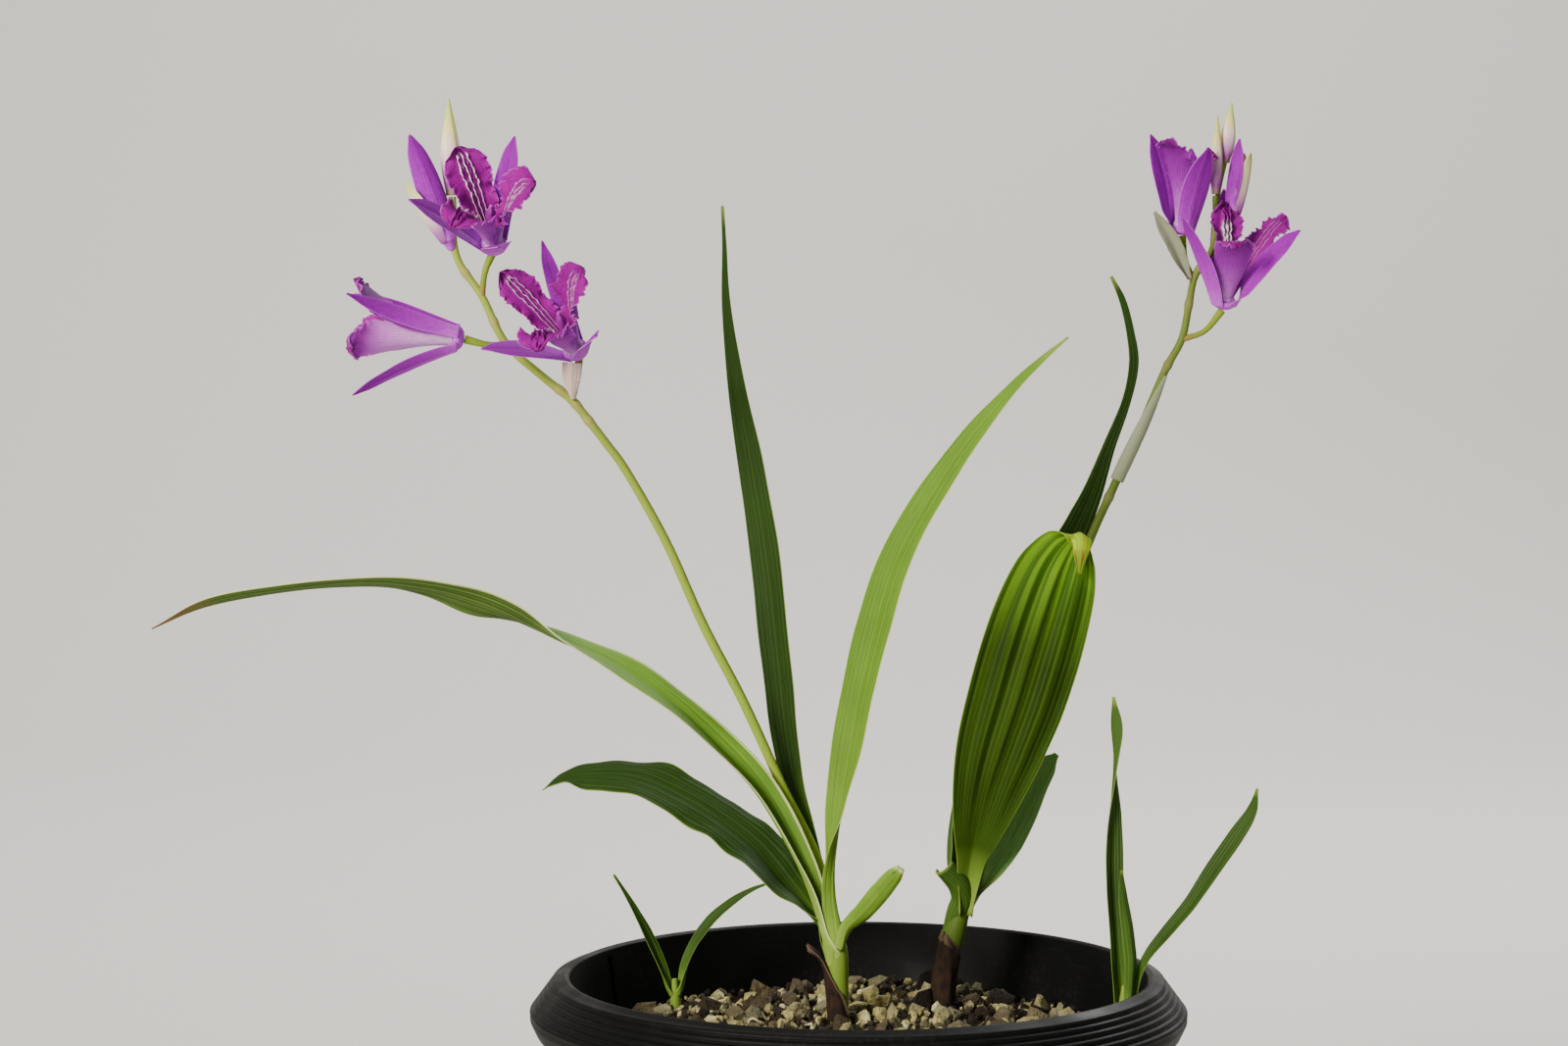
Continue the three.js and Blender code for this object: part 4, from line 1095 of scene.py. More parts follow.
@dataclass
class Sheath:
    """A sheath wrapped round a stem's route, spreading `left` and `right` degrees from `bearing`."""

    name: str
    route: Sequence[Row]
    heights: Row
    radii: Row
    left: Row
    right: Row
    bearing: float
    finish: Finish
    slot: str
    nodes: tuple[str, ...]
    thickness: float = 0.3
    tear: float = 0.0
    wrinkle: float = 0.08
    rows: int = 44
    columns: int = 56
    seed: int = 3

    def build(self) -> bpy.types.Object:
        """Makes the sheath and dresses it."""
        route = np.asarray(self.route, float)
        share = np.linspace(0, 1, self.rows + 1)
        t = edge_columns(self.columns)[None, :]
        torn = 1 + self.tear * waves(t, self.seed, 2.2) * share[:, None] ** 2
        height = along(self.heights, share)[:, None] * torn
        flat = np.clip(height, 0, 1).ravel()
        middle = catmull(route, flat, True).reshape(self.rows + 1, -1, 3)
        direction = tangents(route, flat).reshape(middle.shape)
        bearing = math.radians(self.bearing)
        out = np.array([math.cos(bearing), math.sin(bearing), 0.0])
        out = unit(out - direction * (direction @ out)[..., None])
        left, right = (np.radians(along(wrap, share))[:, None] for wrap in (self.left, self.right))
        ragged = 1 + self.tear * 0.4 * waves(share, self.seed + 5, 4.0)[:, None]
        angle = np.where(t < 0, t * left, t * right) * ragged
        radius = along(self.radii, share)[:, None]
        radius = radius + self.wrinkle * waves(t * 0.5 + 0.1 * share[:, None], self.seed + 2, 5.0)
        middle = middle + turned(out, direction, angle) * radius[..., None]
        thin = self.thickness / 2 * np.sqrt(np.clip(1 - np.abs(t) ** 6, 0, 1))
        length = distance_along(catmull(route, along(self.heights, share), True))[:, None]
        shell = Shell()
        shell.sheet(middle, thin, field(share[:, None], t, 0.0), field(length, radius * angle, 0.0))
        return piece_of(self.name, shell.mesh(self.name), self.finish, self.nodes)


# ------------------------------------------------------------ flowers
TUBE_SHARE = 1.22


class Organ(Enum):
    """The kinds of blade that a bloom is made of."""

    SEPAL = "sepal"
    LIP = "lip"
    BUD_SEPAL = "bud_sepal"


@dataclass(frozen=True)
class PetalForm:
    """The shape that all petals of one kind share, in their bloom's own frame."""

    start: tuple[float, float]
    bend: float
    widths: tuple[float, ...]
    wrap: tuple[float, float]
    tip: float
    rows: int
    ruffle: float = 0.0
    ruffles: float = 0.0
    frill: float = 0.0
    frills: float = 0.0
    keels: int = 0
    keel_height: float = 0.0
    thickness: float = 0.35


FORMS = {
    Organ.SEPAL: PetalForm(
        start=(3.1, 0.0), bend=9, widths=(5.2, 6.4, 7.3, 7.5, 6.6, 4.8, 0.9), wrap=(0.75, 0.3), tip=0.03,
        rows=56, ruffle=0.12, ruffles=1.7, thickness=0.45,
    ),
    Organ.LIP: PetalForm(
        start=(1.9, 1.4), bend=12, widths=(4.4, 5.6, 7.4, 9.0, 9.6, 10.6, 9.6, 5.0), wrap=(1.0, 0.4),
        tip=0.12, rows=100, ruffle=0.9, ruffles=2.6, frill=1.15, frills=4.6, keels=5, keel_height=0.9,
    ),
    Organ.BUD_SEPAL: PetalForm(
        start=(1.7, 0.2), bend=-8, widths=(3.4, 5.4, 6.8, 7.2, 6.4, 4.6, 0.9), wrap=(0.75, 0.75),
        tip=0.03, rows=48, thickness=0.4,
    ),
}


@dataclass(frozen=True)
class Petal:
    """One petal: its kind, azimuth, opening, length and share of the full width.

    Its tip curls back by `curl` degrees and its blade is twisted by `twist` degrees. A lip shows its white
    keels by `show`, and above 1 they run together; its margins are frilled beyond the share `calm`.
    """

    organ: Organ
    azimuth: float
    opening: float
    length: float
    share: float = 1.0
    curl: float = 0.0
    twist: float = 0.0
    show: float = 1.0
    calm: float = 0.45
    seed: int = 1

    def columns(self, form: PetalForm) -> tuple[np.ndarray, np.ndarray, np.ndarray]:
        """Places the columns across the petal, gathered at its margins and on its keels.

        Args:
            form: the petal's form.

        Returns:
            The columns from -1 to 1, each one's share of a keel's height, and its keel's number or -1.
        """
        if not form.keels:
            return edge_columns(22), np.zeros(23), np.full(23, -1)
        reach = 0.28
        step = 2 * reach / (form.keels - 1)
        section = ((-0.5, 0.0), (-0.25, 0.2), (-0.08, 1.0), (0.08, 1.0), (0.25, 0.2))
        places, heights, numbers = [], [], []
        for number in range(form.keels):
            for offset, height in section:
                places.append(-reach + step * (number + offset))
                heights.append(height if number % 2 == 0 else 0.4 * height)
                numbers.append(number)
        edge = reach + step / 2
        outer = edge + (1 - edge) * np.sin(np.linspace(0, np.pi / 2, 14))
        count = len(outer)
        t = np.concatenate([-outer[:0:-1], places, outer])
        h = np.concatenate([np.zeros(count - 1), heights, np.zeros(count)])
        k = np.concatenate([np.full(count - 1, -1), numbers, np.full(count, -1)])
        return t, h, k

    def grid(self) -> tuple[np.ndarray, np.ndarray, np.ndarray, np.ndarray, np.ndarray]:
        """Lays out the middle of the petal in its bloom's own frame.

        Returns:
            Points, half thickness, tissue and lamina values, and how far the keels stand up.
        """
        form = FORMS[self.organ]
        share = np.linspace(0, 1, form.rows + 1) ** (0.8 if form.frill else 1.0)
        columns, ridge, number = self.columns(form)
        s = share[:, None]
        t = columns[None, :] * np.ones_like(s)
        bumpy = np.ones_like(t)
        for keel in range(form.keels):
            inside = (number == keel)[None, :]
            sway = 0.035 * waves(share, self.seed + 5 * keel, 5.5, 3)[:, None] * smooth(s, 0.2, 0.5)
            t = t + np.where(inside, sway, 0)
            lumps = 1 + 0.4 * waves(share, self.seed + 7 * keel + 1, 7.0, 3)[:, None] * smooth(s, 0.25, 0.7)
            bumpy = np.where(inside, lumps, bumpy)
        lean = np.radians(self.opening - form.bend + 2 * form.bend * s + self.curl * smooth(s, 0.74, 1.0))
        pace = self.length * np.diff(share)[:, None]
        middle_lean = (lean[1:] + lean[:-1]) / 2
        radius = form.start[0] + np.vstack([[[0.0]], np.cumsum(pace * np.sin(middle_lean), axis=0)])
        height = form.start[1] + np.vstack([[[0.0]], np.cumsum(pace * np.cos(middle_lean), axis=0)])
        width = along(form.widths, share)[:, None] * self.share
        rounded = np.sqrt(np.clip(1 - np.clip((s - 1 + form.tip) / form.tip, 0, 0.985) ** 2, 0, 1))
        crisp = 0.05 if form.frill else 0.0
        scallop = 1 + crisp * waves(share, self.seed + 11, 9.0)[:, None] * smooth(s, 0.45, 0.7)
        half = np.minimum(width / 2, TUBE_SHARE * radius) * rounded * scallop
        cup = half / radius * (form.wrap[0] + (form.wrap[1] - form.wrap[0]) * s)
        arc = half / cup
        wave = form.ruffle * t**2 * np.sin(2 * np.pi * form.ruffles * s + 2.2 * t)
        inward = arc * (1 - np.cos(t * cup)) + wave * smooth(s, self.calm - 0.05, self.calm + 0.3)
        if form.frill:
            grown = form.frill * smooth(s, self.calm, self.calm + 0.27)
            for shift, pace, count, inner in ((0, 0.8, 2, 0.4), (2, 2.4, 3, 0.74)):
                left, right = (
                    waves(share, self.seed + side + shift, pace * form.frills, count)[:, None]
                    for side in (0, 31)
                )
                rim = 0.6 * smooth(np.abs(t), inner, 1.0)
                inward = inward + grown * rim * np.where(t < 0, left, right)
            end = waves(columns * 0.5, self.seed + 17, 3.4, 4)[None, :]
            inward = inward + form.frill * 0.7 * smooth(s, 0.86, 1.0) * end
        else:
            inward = inward - 0.3 * np.exp(-((t / 0.09) ** 2)) * np.sin(np.pi * s) ** 0.5
        turn = math.radians(self.twist) * smooth(s, 0.0, 0.25)
        sideways = arc * np.sin(t * cup)
        x = radius - (inward * np.cos(turn) + sideways * np.sin(turn)) * np.cos(lean)
        y = inward * np.sin(turn) - sideways * np.cos(turn)
        z = height + (inward * np.cos(turn) + sideways * np.sin(turn)) * np.sin(lean)
        angle = math.radians(self.azimuth)
        c, d = math.cos(angle), math.sin(angle)
        middle = np.stack([c * x - d * y, d * x + c * y, z], axis=-1)
        stand = smooth(s, 0.06, 0.2) * (1 - smooth(s, 0.88, 0.97)) * (0.5 + 0.5 * smooth(s, 0.3, 0.75))
        rise = form.keel_height * (0.4 + 0.6 * self.show) * ridge[None, :] * stand * bumpy
        crest = self.show * np.clip(ridge[None, :] * bumpy * 1.5 - 0.6, 0, 1)
        clotted = np.exp(-((t / 0.2) ** 2)) * (0.7 + 0.6 * waves(s + 0.3 * t, self.seed + 3, 9.0, 3))
        crest = np.clip(crest + max(self.show - 1, 0) * clotted * smooth(s, 0.35, 0.55), 0, 1)
        short = 0.2 * min(max(self.show - 1, 0), 1)
        crest = crest * smooth(s, 0.1, 0.2) * (1 - smooth(s, 0.86 - short, 0.97 - short))
        thin = form.thickness / 2 * np.sqrt(np.clip(1 - np.abs(columns[None, :]) ** 4, 0, 1))
        lamina = field(s * self.length + 40 * self.seed, t * max(form.widths) / 2, 0.0)
        return middle, thin, field(s, t, crest), lamina, rise


DISC_SIDES = 28
BELL = ((0.8, -1.3), (1.7, -1.1), (2.5, -0.6), (3.0, 0.1), (3.1, 0.8), (2.6, 1.5), (0.4, 1.7))


@dataclass
class Bloom:
    """One open bloom: its sepals, the ruffled lips round its throat and its column.

    The lips numbered in `pale` take a lit copy of the lip tissue, whose paler outer face is painted light.
    """

    name: str
    at: Row
    axis: Row
    sepals: Sequence[Row]
    lips: Sequence[Row]
    seed: int = 1
    pale: tuple[int, ...] = ()

    def place(self, points: np.ndarray) -> np.ndarray:
        """Moves points from the bloom's own frame to the plant's."""
        z = unit(np.asarray(self.axis, float))
        x = unit(np.cross([0.0, 1.0, 0.0], z))
        y = np.cross(z, x)
        return points @ np.stack([x, y, z]) + np.asarray(self.at, float)

    def turned_disc(self, shell: Shell, profile: Sequence[Row], share: float) -> None:
        """Adds a closed solid of revolution on the bloom's axis.

        Args:
            shell: the piece that it joins.
            profile: radius and height pairs, from its foot to its tip.
            share: the share along a petal whose colour it takes.
        """
        rings = lathe(profile, DISC_SIDES)
        shell.tube(self.place(rings), field(share, 0 * rings[..., 0], 0.0), rings)

    def petals(self, shell: Shell, petals: Iterable[Petal], material: int = 0) -> None:
        """Adds petals to a piece.

        Args:
            shell: the piece.
            petals: the petals.
            material: the number of their material.
        """
        for petal in petals:
            middle, half, tissue, lamina, rise = petal.grid()
            shell.sheet(self.place(middle), half, tissue, lamina, rise, material)

    def column(self, shell: Shell) -> None:
        """Adds the slim arched column with its broad tip and anther cap."""
        share = np.linspace(0, 1, 36)
        spine = [[0, 0, 0.9], [0.3, 0, 8], [1.3, 0, 15]]
        wide = along([1.0, 0.85, 0.95, 1.3, 1.45, 0.35], share)[:, None]
        deep = along([0.9, 0.75, 0.8, 0.95, 1.1, 0.3], share)[:, None]
        side = np.array([0.0, 1.0, 0.0])
        out = np.cross(side, tangents(spine, share))[:, None]
        angle = np.linspace(0, 2 * np.pi, 26, endpoint=False)
        wing = 1 + 0.14 * np.cos(2 * angle) ** 4
        rings = (
            catmull(spine, share, True)[:, None] + side * (wide * np.sin(angle) * wing)[..., None]
            + out * (deep * np.cos(angle) * wing)[..., None]
        )
        shell.tube(self.place(rings), field(share[:, None], 0 * angle, 0.0), rings)

    def build(self) -> list[bpy.types.Object]:
        """Makes the bloom's three pieces and dresses them."""
        name = f"bloom_{self.name}"
        sepals, lips, column = Shell(), Shell(), Shell()
        self.turned_disc(sepals, BELL, 0.06)
        self.petals(
            sepals, [Petal(Organ.SEPAL, *row, seed=self.seed + i) for i, row in enumerate(self.sepals)],
        )
        self.turned_disc(lips, [(0.4, 0.9), (2.3, 0.9), (2.5, 1.6), (2.2, 2.2), (0.4, 2.3)], 0.0)
        for i, row in enumerate(self.lips):
            self.petals(lips, [Petal(Organ.LIP, *row, seed=self.seed + 20 + i)], int(i in self.pale))
        self.column(column)
        made = []
        # The second lip finish is a lit copy whose paler outer face is painted light.
        lip_finishes = (LIP_TISSUE, LIT_LIP_TISSUE) if self.pale else (LIP_TISSUE,)
        for part, shell, finishes, slot in (
            ("sepals", sepals, (SEPAL_TISSUE,), "sepal"), ("lips", lips, lip_finishes, "lip"),
            ("column", column, (COLUMN_TISSUE,), "column"),
        ):
            node = f"{name}_{part}"
            made.append(piece_of(node, shell.mesh(node, finishes), finishes[0], [node]))
        return made


@dataclass
class OpeningBud(Bloom):
    """A bud whose sepals have coloured and begun to part round a slim core."""

    core: float = 15.0
    finishes: tuple[int, ...] = (0, 1, 1)

    def build(self) -> list[bpy.types.Object]:
        """Makes the bud as one piece and dresses each sepal as purple or still cream."""
        shell = Shell()
        z = self.core
        heart = [
            (0.6, -2.2), (1.0, -1.8), (1.3, -0.8), (1.75, 0.4), (1.5, 2), (1.0, z * 0.5), (0.8, z * 0.75),
            (0.3, z),
        ]
        self.turned_disc(shell, heart, 0.06)
        for i, row in enumerate(self.sepals):
            self.petals(shell, [Petal(Organ.BUD_SEPAL, *row, seed=self.seed + i)], self.finishes[i])
        mesh = shell.mesh(self.name, (SEPAL_TISSUE, CREAM_SEPAL))
        return [piece_of(self.name, mesh, SEPAL_TISSUE, [self.name])]


@dataclass
class Bud:
    """A closed pointed bud: three sepals that meet along shallow seams."""

    name: str
    foot: Row
    tip: Row
    width: float
    seam_turn: float = 0.4

    def build(self) -> bpy.types.Object:
        """Makes the bud and dresses it."""
        foot, tip = np.asarray(self.foot, float), np.asarray(self.tip, float)
        share = np.linspace(0, 1, 60)
        angle = np.linspace(0, 2 * np.pi, 48, endpoint=False)
        axis = unit(tip - foot)
        side = unit(np.cross(axis, [0.0, 1.0, 0.0]))
        front = np.cross(axis, side)
        radius = along([0.3, 0.42, 0.5, 0.47, 0.36, 0.2, 0.06], share) * self.width
        spread = smooth(share, 0.0, 0.3)[:, None] * (1 - 0.6 * smooth(share, 0.8, 1.0)[:, None])
        turn = angle[None, :] + self.seam_turn + 0.5 * share[:, None]
        lobed = 1 - 0.10 * spread * np.exp(
            -((np.cos(1.5 * turn) / 0.16) ** 2)
        ) - 0.03 * spread * np.cos(3 * turn)
        reach = radius[:, None] * lobed
        rings = (
            foot + (tip - foot) * share[:, None, None] + side * (reach * np.cos(angle))[..., None]
            + front * (reach * np.sin(angle))[..., None]
        )
        seam = np.exp(-((np.cos(1.5 * turn) / 0.12) ** 2))
        faded = (0.88 * seam + 0.06) * (1 - smooth(share, 0.5, 0.75))[:, None]
        shell = Shell()
        shell.tube(
            rings, field(share[:, None], faded, 0.0),
            field(share[:, None] * 20, 2.6 * np.sin(angle), 0.0),
        )
        return piece_of(self.name, shell.mesh(self.name), BUD_SKIN, [self.name])


# ------------------------------------------------------------ pot and mix
@dataclass
class NurseryPot:
    """The moulded pot: tapered wall, flaring ribbed rim, drain holes and a groove inside."""

    height: float = 120.0
    rim_radius: float = 71.6
    outer_radius: float = 80.0
    base_radius: float = 55.0
    wall: float = 1.6
    floor: float = 3.0
    segments: int = 180
    drains: int = 8
    drain_radius: float = 4.0
    drain_ring: float = 38.0
    groove: tuple[float, float, float] = (152.4, 1.6, 0.8)

    def inner_radius(self, z: float) -> float:
        """Gives the radius of the inner wall at a height."""
        low, high = self.base_radius - self.wall, self.rim_radius - 1.2
        return low + (high - low) * (z - self.floor) / (self.height - self.floor)

    def profile(self) -> list[tuple[float, float]]:
        """Gives the pot's outline from the middle of its underside round to the middle of its floor."""
        top, rim, outer = self.height, self.rim_radius, self.outer_radius
        ribs: list[tuple[float, float]] = []
        for k in range(6):
            r, z = rim + 2.3 + 1.05 * k, top - 1.0 - 1.42 * k
            ribs += [(r, z), (r + 0.55, z - 0.15), (r + 0.95, z - 0.75), (r + 0.75, z - 1.2)]
        return [
            (0.0, 0.0), (self.base_radius - 1.5, 0.0), (self.base_radius, 1.5), (rim - 0.7, top - 8),
            (rim + 0.4, top - 4), (outer - 3, top - 11.5), (outer - 6.6, top - 17),
            (outer - 5.4, top - 18), (outer - 1.6, top - 14), (outer, top - 10.6), *ribs[::-1],
            (rim + 1.6, top - 0.8), (rim, top), (rim - 1.2, top - 0.6),
            (self.inner_radius(self.floor), self.floor), (0.0, self.floor),
        ]

    def rounded(self, outline: list[tuple[float, float]], radius: float) -> list[tuple[float, float]]:
        """Rounds the corners of an outline.

        Args:
            outline: its points.
            radius: how far along each side a corner is rounded.

        Returns:
            The outline with each corner as four points.
        """
        points = [Vector(p) for p in outline]
        result = [outline[0]]
        for before, corner, after in zip(points, points[1:], points[2:]):
            back, ahead = before - corner, after - corner
            a = corner + back.normalized() * min(radius, 0.4 * back.length)
            b = corner + ahead.normalized() * min(radius, 0.4 * ahead.length)
            for w in (0, 1 / 3, 2 / 3, 1):
                p = a.lerp(corner, w).lerp(corner.lerp(b, w), w)
                result.append((p.x, p.y))
        return result + [outline[-1]]

    def walls(self) -> bpy.types.Mesh:
        """Turns the rounded outline round the axis into a closed mesh."""
        outline = self.rounded(self.profile(), 0.3)
        rings, ends = lathe(outline[1:-1], self.segments), lathe((outline[0], outline[-1]), 1)
        points = np.vstack([rings.reshape(-1, 3), ends.reshape(-1, 3)])
        return mesh_of("pot_body", points, ring_faces(*rings.shape[:2]))

    def cutters(self) -> bpy.types.Mesh:
        """Makes the closed forms of the drain holes and the groove."""
        cutter = bmesh.new()
        for k in range(self.drains):
            angle = 2 * math.pi * (k + 0.5) / self.drains
            ring = self.drain_ring * MM
            place = Matrix.Translation((ring * math.cos(angle), ring * math.sin(angle), self.floor / 2 * MM))
            bmesh.ops.create_cone(
                cutter, cap_ends=True, segments=28, radius1=self.drain_radius * MM,
                radius2=self.drain_radius * MM, depth=3 * self.floor * MM, matrix=place,
            )
        bearing, width, depth = self.groove
        middle = (self.height + self.floor) / 2
        rise = self.height - 2 * self.floor
        tilt = math.atan2(
            self.inner_radius(self.height) - self.inner_radius(self.floor), self.height - self.floor,
        )
        place = (
            Matrix.Rotation(math.radians(bearing), 4, "Z")
            @ Matrix.Translation((self.inner_radius(middle) * MM, 0, middle * MM))
            @ Matrix.Rotation(tilt, 4, "Y") @ Matrix.Diagonal((2 * depth * MM, width * MM, rise * MM, 1))
        )
        bmesh.ops.create_cube(cutter, size=1.0, matrix=place)
        return baked(cutter, "pot_cutters")

    def build(self) -> bpy.types.Object:
        """Makes the pot, cuts its holes and groove, and dresses it."""
        body = bpy.data.objects.new("pot_body", self.walls())
        tool = bpy.data.objects.new("pot_cutters", self.cutters())
        for item in (body, tool):
            bpy.context.scene.collection.objects.link(item)
        cut = body.modifiers.new("holes", "BOOLEAN")
        cut.operation, cut.solver, cut.object = "DIFFERENCE", "EXACT", tool
        depsgraph = bpy.context.evaluated_depsgraph_get()
        mesh = bpy.data.meshes.new_from_object(body.evaluated_get(depsgraph), depsgraph=depsgraph)
        for item in (body, tool):
            bpy.data.objects.remove(item)
        mesh.shade_smooth()
        mesh.set_sharp_from_angle(angle=math.radians(38))
        return piece_of("nursery_pot", mesh, POT_PLASTIC, ["pot"])


class GritGrowth(Growth):
    """Scatters broken stones over a surface, with Geometry Nodes."""

    def __init__(self) -> None:
        """Builds the tree: spaced points on the faces, a stone on each with its own turn, size and shade."""
        measures = ("Spacing", "Density", "Smallest", "Largest", "Darkest", "Palest")
        super().__init__(
            "grit_growth",
            {
                **dict.fromkeys(measures, "NodeSocketFloat"), "Seed": "NodeSocketInt",
                "Stones": "NodeSocketCollection", "Finish": "NodeSocketMaterial",
            },
        )
        given, node = self.given, self.node
        spread = node(
            "GeometryNodeDistributePointsOnFaces", distribute_method="POISSON",
            named={
                "Mesh": given["Geometry"], "Distance Min": given["Spacing"],
                "Density Max": given["Density"], "Seed": given["Seed"],
            },
        )
        stones = node(
            "GeometryNodeCollectionInfo",
            named={"Collection": given["Stones"], "Separate Children": True, "Reset Children": True},
        )

        def drawn(low: object, high: object, kind: str = "FLOAT") -> bpy.types.Node:
            return node("FunctionNodeRandomValue", low, high, None, given["Seed"], data_type=kind)

        placed = node(
            "GeometryNodeInstanceOnPoints",
            named={
                "Points": spread.outputs["Points"], "Instance": stones, "Pick Instance": True,
                "Rotation": drawn((0.0, 0.0, 0.0), (math.tau, math.tau, math.tau), "FLOAT_VECTOR"),
                "Scale": drawn(given["Smallest"], given["Largest"]),
            },
        )
        toned = node(
            "GeometryNodeStoreNamedAttribute", data_type="FLOAT", domain="INSTANCE",
            named={"Geometry": placed, "Name": "tone", "Value": drawn(given["Palest"], given["Darkest"])},
        )
        self.close(toned, given["Finish"])


@dataclass
class PottingMix:
    """The gritty mix: a dark bed that fills the pot, with broken stones, grit and bark strewn over it.

    Each of its `layers` has a spacing, a density, the smallest and largest stone, the palest and darkest
    shade, and a seed. The bed lies `sunk` below the surface that the stones are strewn on.
    """

    level: float = 103.5
    sunk: float = 1.6
    clearance: float = 0.5
    mounds: tuple[tuple[float, float, float, float], ...] = ((8, 44, 3.5, 19), (-34, 22, 1.5, 16))
    bottom: float = 3.3
    layers: tuple[tuple[float, float, float, float, float, float, int], ...] = (
        (9.5, 9000, 6.0, 9.5, 0.35, 1.0, 5), (6.4, 20000, 4.2, 7.6, 0.0, 0.8, 11),
        (3.6, 60000, 2.2, 4.6, 0.0, 1.0, 23), (2.0, 160000, 1.0, 2.2, 0.3, 1.0, 37),
    )
    stems: tuple[tuple[float, float], ...] = ((-4.2, 14), (21.6, 33), (-45.6, 38), (63.2, -8))
    stem_room: float = 3.4
    cell: float = 1.5

    def surface(self, x: np.ndarray, y: np.ndarray) -> np.ndarray:
        """Gives the height of the mix's surface."""
        z = np.full_like(x, self.level)
        for mx, my, height, spread in self.mounds:
            z = z + height * np.exp(-((x - mx) ** 2 + (y - my) ** 2) / (2 * spread**2))
        return z

    def stones(self, kinds: int, flat: float, seed: int) -> bpy.types.Collection:
        """Breaks a few kinds of stone, each a hull of random points about one millimetre across.

        Args:
            kinds: how many kinds.
            flat: how thick they are against their width.
            seed: which stones.

        Returns:
            A collection of them.
        """
        random = np.random.default_rng(seed)
        kept = bpy.data.collections.new(f"stones_{seed}")
        bpy.context.scene.collection.children.link(kept)
        for k in range(kinds):
            stone = bmesh.new()
            for _ in range(15):
                p = unit(random.normal(size=3)) * (0.42 + 0.1 * random.random())
                p = p * np.array([1.0 + 0.35 * random.random(), 0.95, flat]) * MM
                stone.verts.new(p)
            made = bmesh.ops.convex_hull(stone, input=stone.verts)
            loose = {
                v for v in made["geom_interior"] + made["geom_unused"]
                if isinstance(v, bmesh.types.BMVert)
            }
            bmesh.ops.delete(stone, geom=list(loose), context="VERTS")
            kept.objects.link(bpy.data.objects.new(f"stone_{seed}_{k}", baked(stone, f"stone_{seed}_{k}")))
        return kept

    def bed(self, pot: NurseryPot) -> bpy.types.Mesh:
        """Makes the bed that fills the pot."""
        radii = np.array([*np.linspace(4, 66, 24), pot.inner_radius(self.level) - self.clearance])
        x, y, _ = np.moveaxis(lathe(np.stack([radii, 0 * radii], axis=1), 90), -1, 0)
        uneven = 0.7 * waves(x / 20 + y / 33, 5, 1.5) + 0.5 * waves(y / 14, 9, 1.5)
        foot = lathe([(pot.inner_radius(self.bottom) - self.clearance, self.bottom)], 90)
        rings = np.concatenate([field(x, y, self.surface(x, y) - self.sunk + uneven), foot])
        ends = [[0, 0, self.level - self.sunk], [0, 0, self.bottom]]
        outward = [(face[0], *face[:0:-1]) for face in ring_faces(*rings.shape[:2])]
        mesh = mesh_of("mix_bed", np.vstack([rings.reshape(-1, 3), ends]), outward)
        mark(mesh, "tone", np.random.default_rng(4).random(len(mesh.vertices)))
        mesh.shade_smooth()
        return mesh

    def ground(self, reach: float) -> bpy.types.Mesh:
        """Makes the open surface that stones are strewn over, clear of the stems, out to a radius."""
        body = bmesh.new()
        count = int(reach // self.cell)
        marks = {}
        for i in range(-count, count + 1):
            for j in range(-count, count + 1):
                x, y = i * self.cell, j * self.cell
                near = min(math.hypot(x - sx, y - sy) for sx, sy in self.stems)
                if math.hypot(x, y) <= reach and near > self.stem_room:
                    z = float(self.surface(np.array([x]), np.array([y]))[0])
                    marks[i, j] = body.verts.new(Vector((x, y, z)) * MM)
        for (i, j), corner in marks.items():
            cell = [marks.get(key) for key in ((i + 1, j), (i + 1, j + 1), (i, j + 1))]
            if all(cell):
                body.faces.new((corner, *cell))
        return baked(body, "mix_ground")

    def build(self, pot: NurseryPot) -> list[bpy.types.Object]:
        """Makes the bed and the stones and dresses them.

        Args:
            pot: the pot that the mix fills.

        Returns:
            The two pieces.
        """
        bed = piece_of("mix_bed", self.bed(pot), DARK_BED, ["potting_mix"])
        growth = GritGrowth()
        collected = bmesh.new()
        for spacing, density, smallest, largest, palest, darkest, seed in self.layers:
            stones = self.stones(9, 0.72 if smallest > 2 else 0.85, seed)
            strewn = growth.grow(
                self.ground(pot.inner_radius(self.level) - largest * 0.62 - 0.4),
                {
                    "Spacing": spacing * MM, "Density": float(density), "Smallest": smallest,
                    "Largest": largest, "Palest": palest, "Darkest": darkest, "Seed": seed,
                    "Stones": stones, "Finish": POTTING_GRIT.material(),
                },
            )
            collected.from_mesh(strewn)
            for stone in list(stones.objects):
                bpy.data.objects.remove(stone)
            bpy.data.collections.remove(stones)
        mesh = baked(collected, "mix_stones")
        return [bed, piece_of("mix_stones", mesh, POTTING_GRIT, ["potting_mix"])]


# ------------------------------------------------------------ the growths
def joined(name: str, meshes: Sequence[bpy.types.Mesh]) -> bpy.types.Mesh:
    """Joins meshes into one that keeps each one's material.

    Args:
        name: the new mesh's name.
        meshes: the meshes, each with one material.

    Returns:
        The joined mesh.
    """
    body = bmesh.new()
    count = 0
    for number, mesh in enumerate(meshes):
        body.from_mesh(mesh)
        body.faces.ensure_lookup_table()
        for face in body.faces[count:]:
            face.material_index = number
        count = len(body.faces)
    whole = baked(body, name)
    for mesh in meshes:
        whole.materials.append(mesh.materials[0])
    return whole


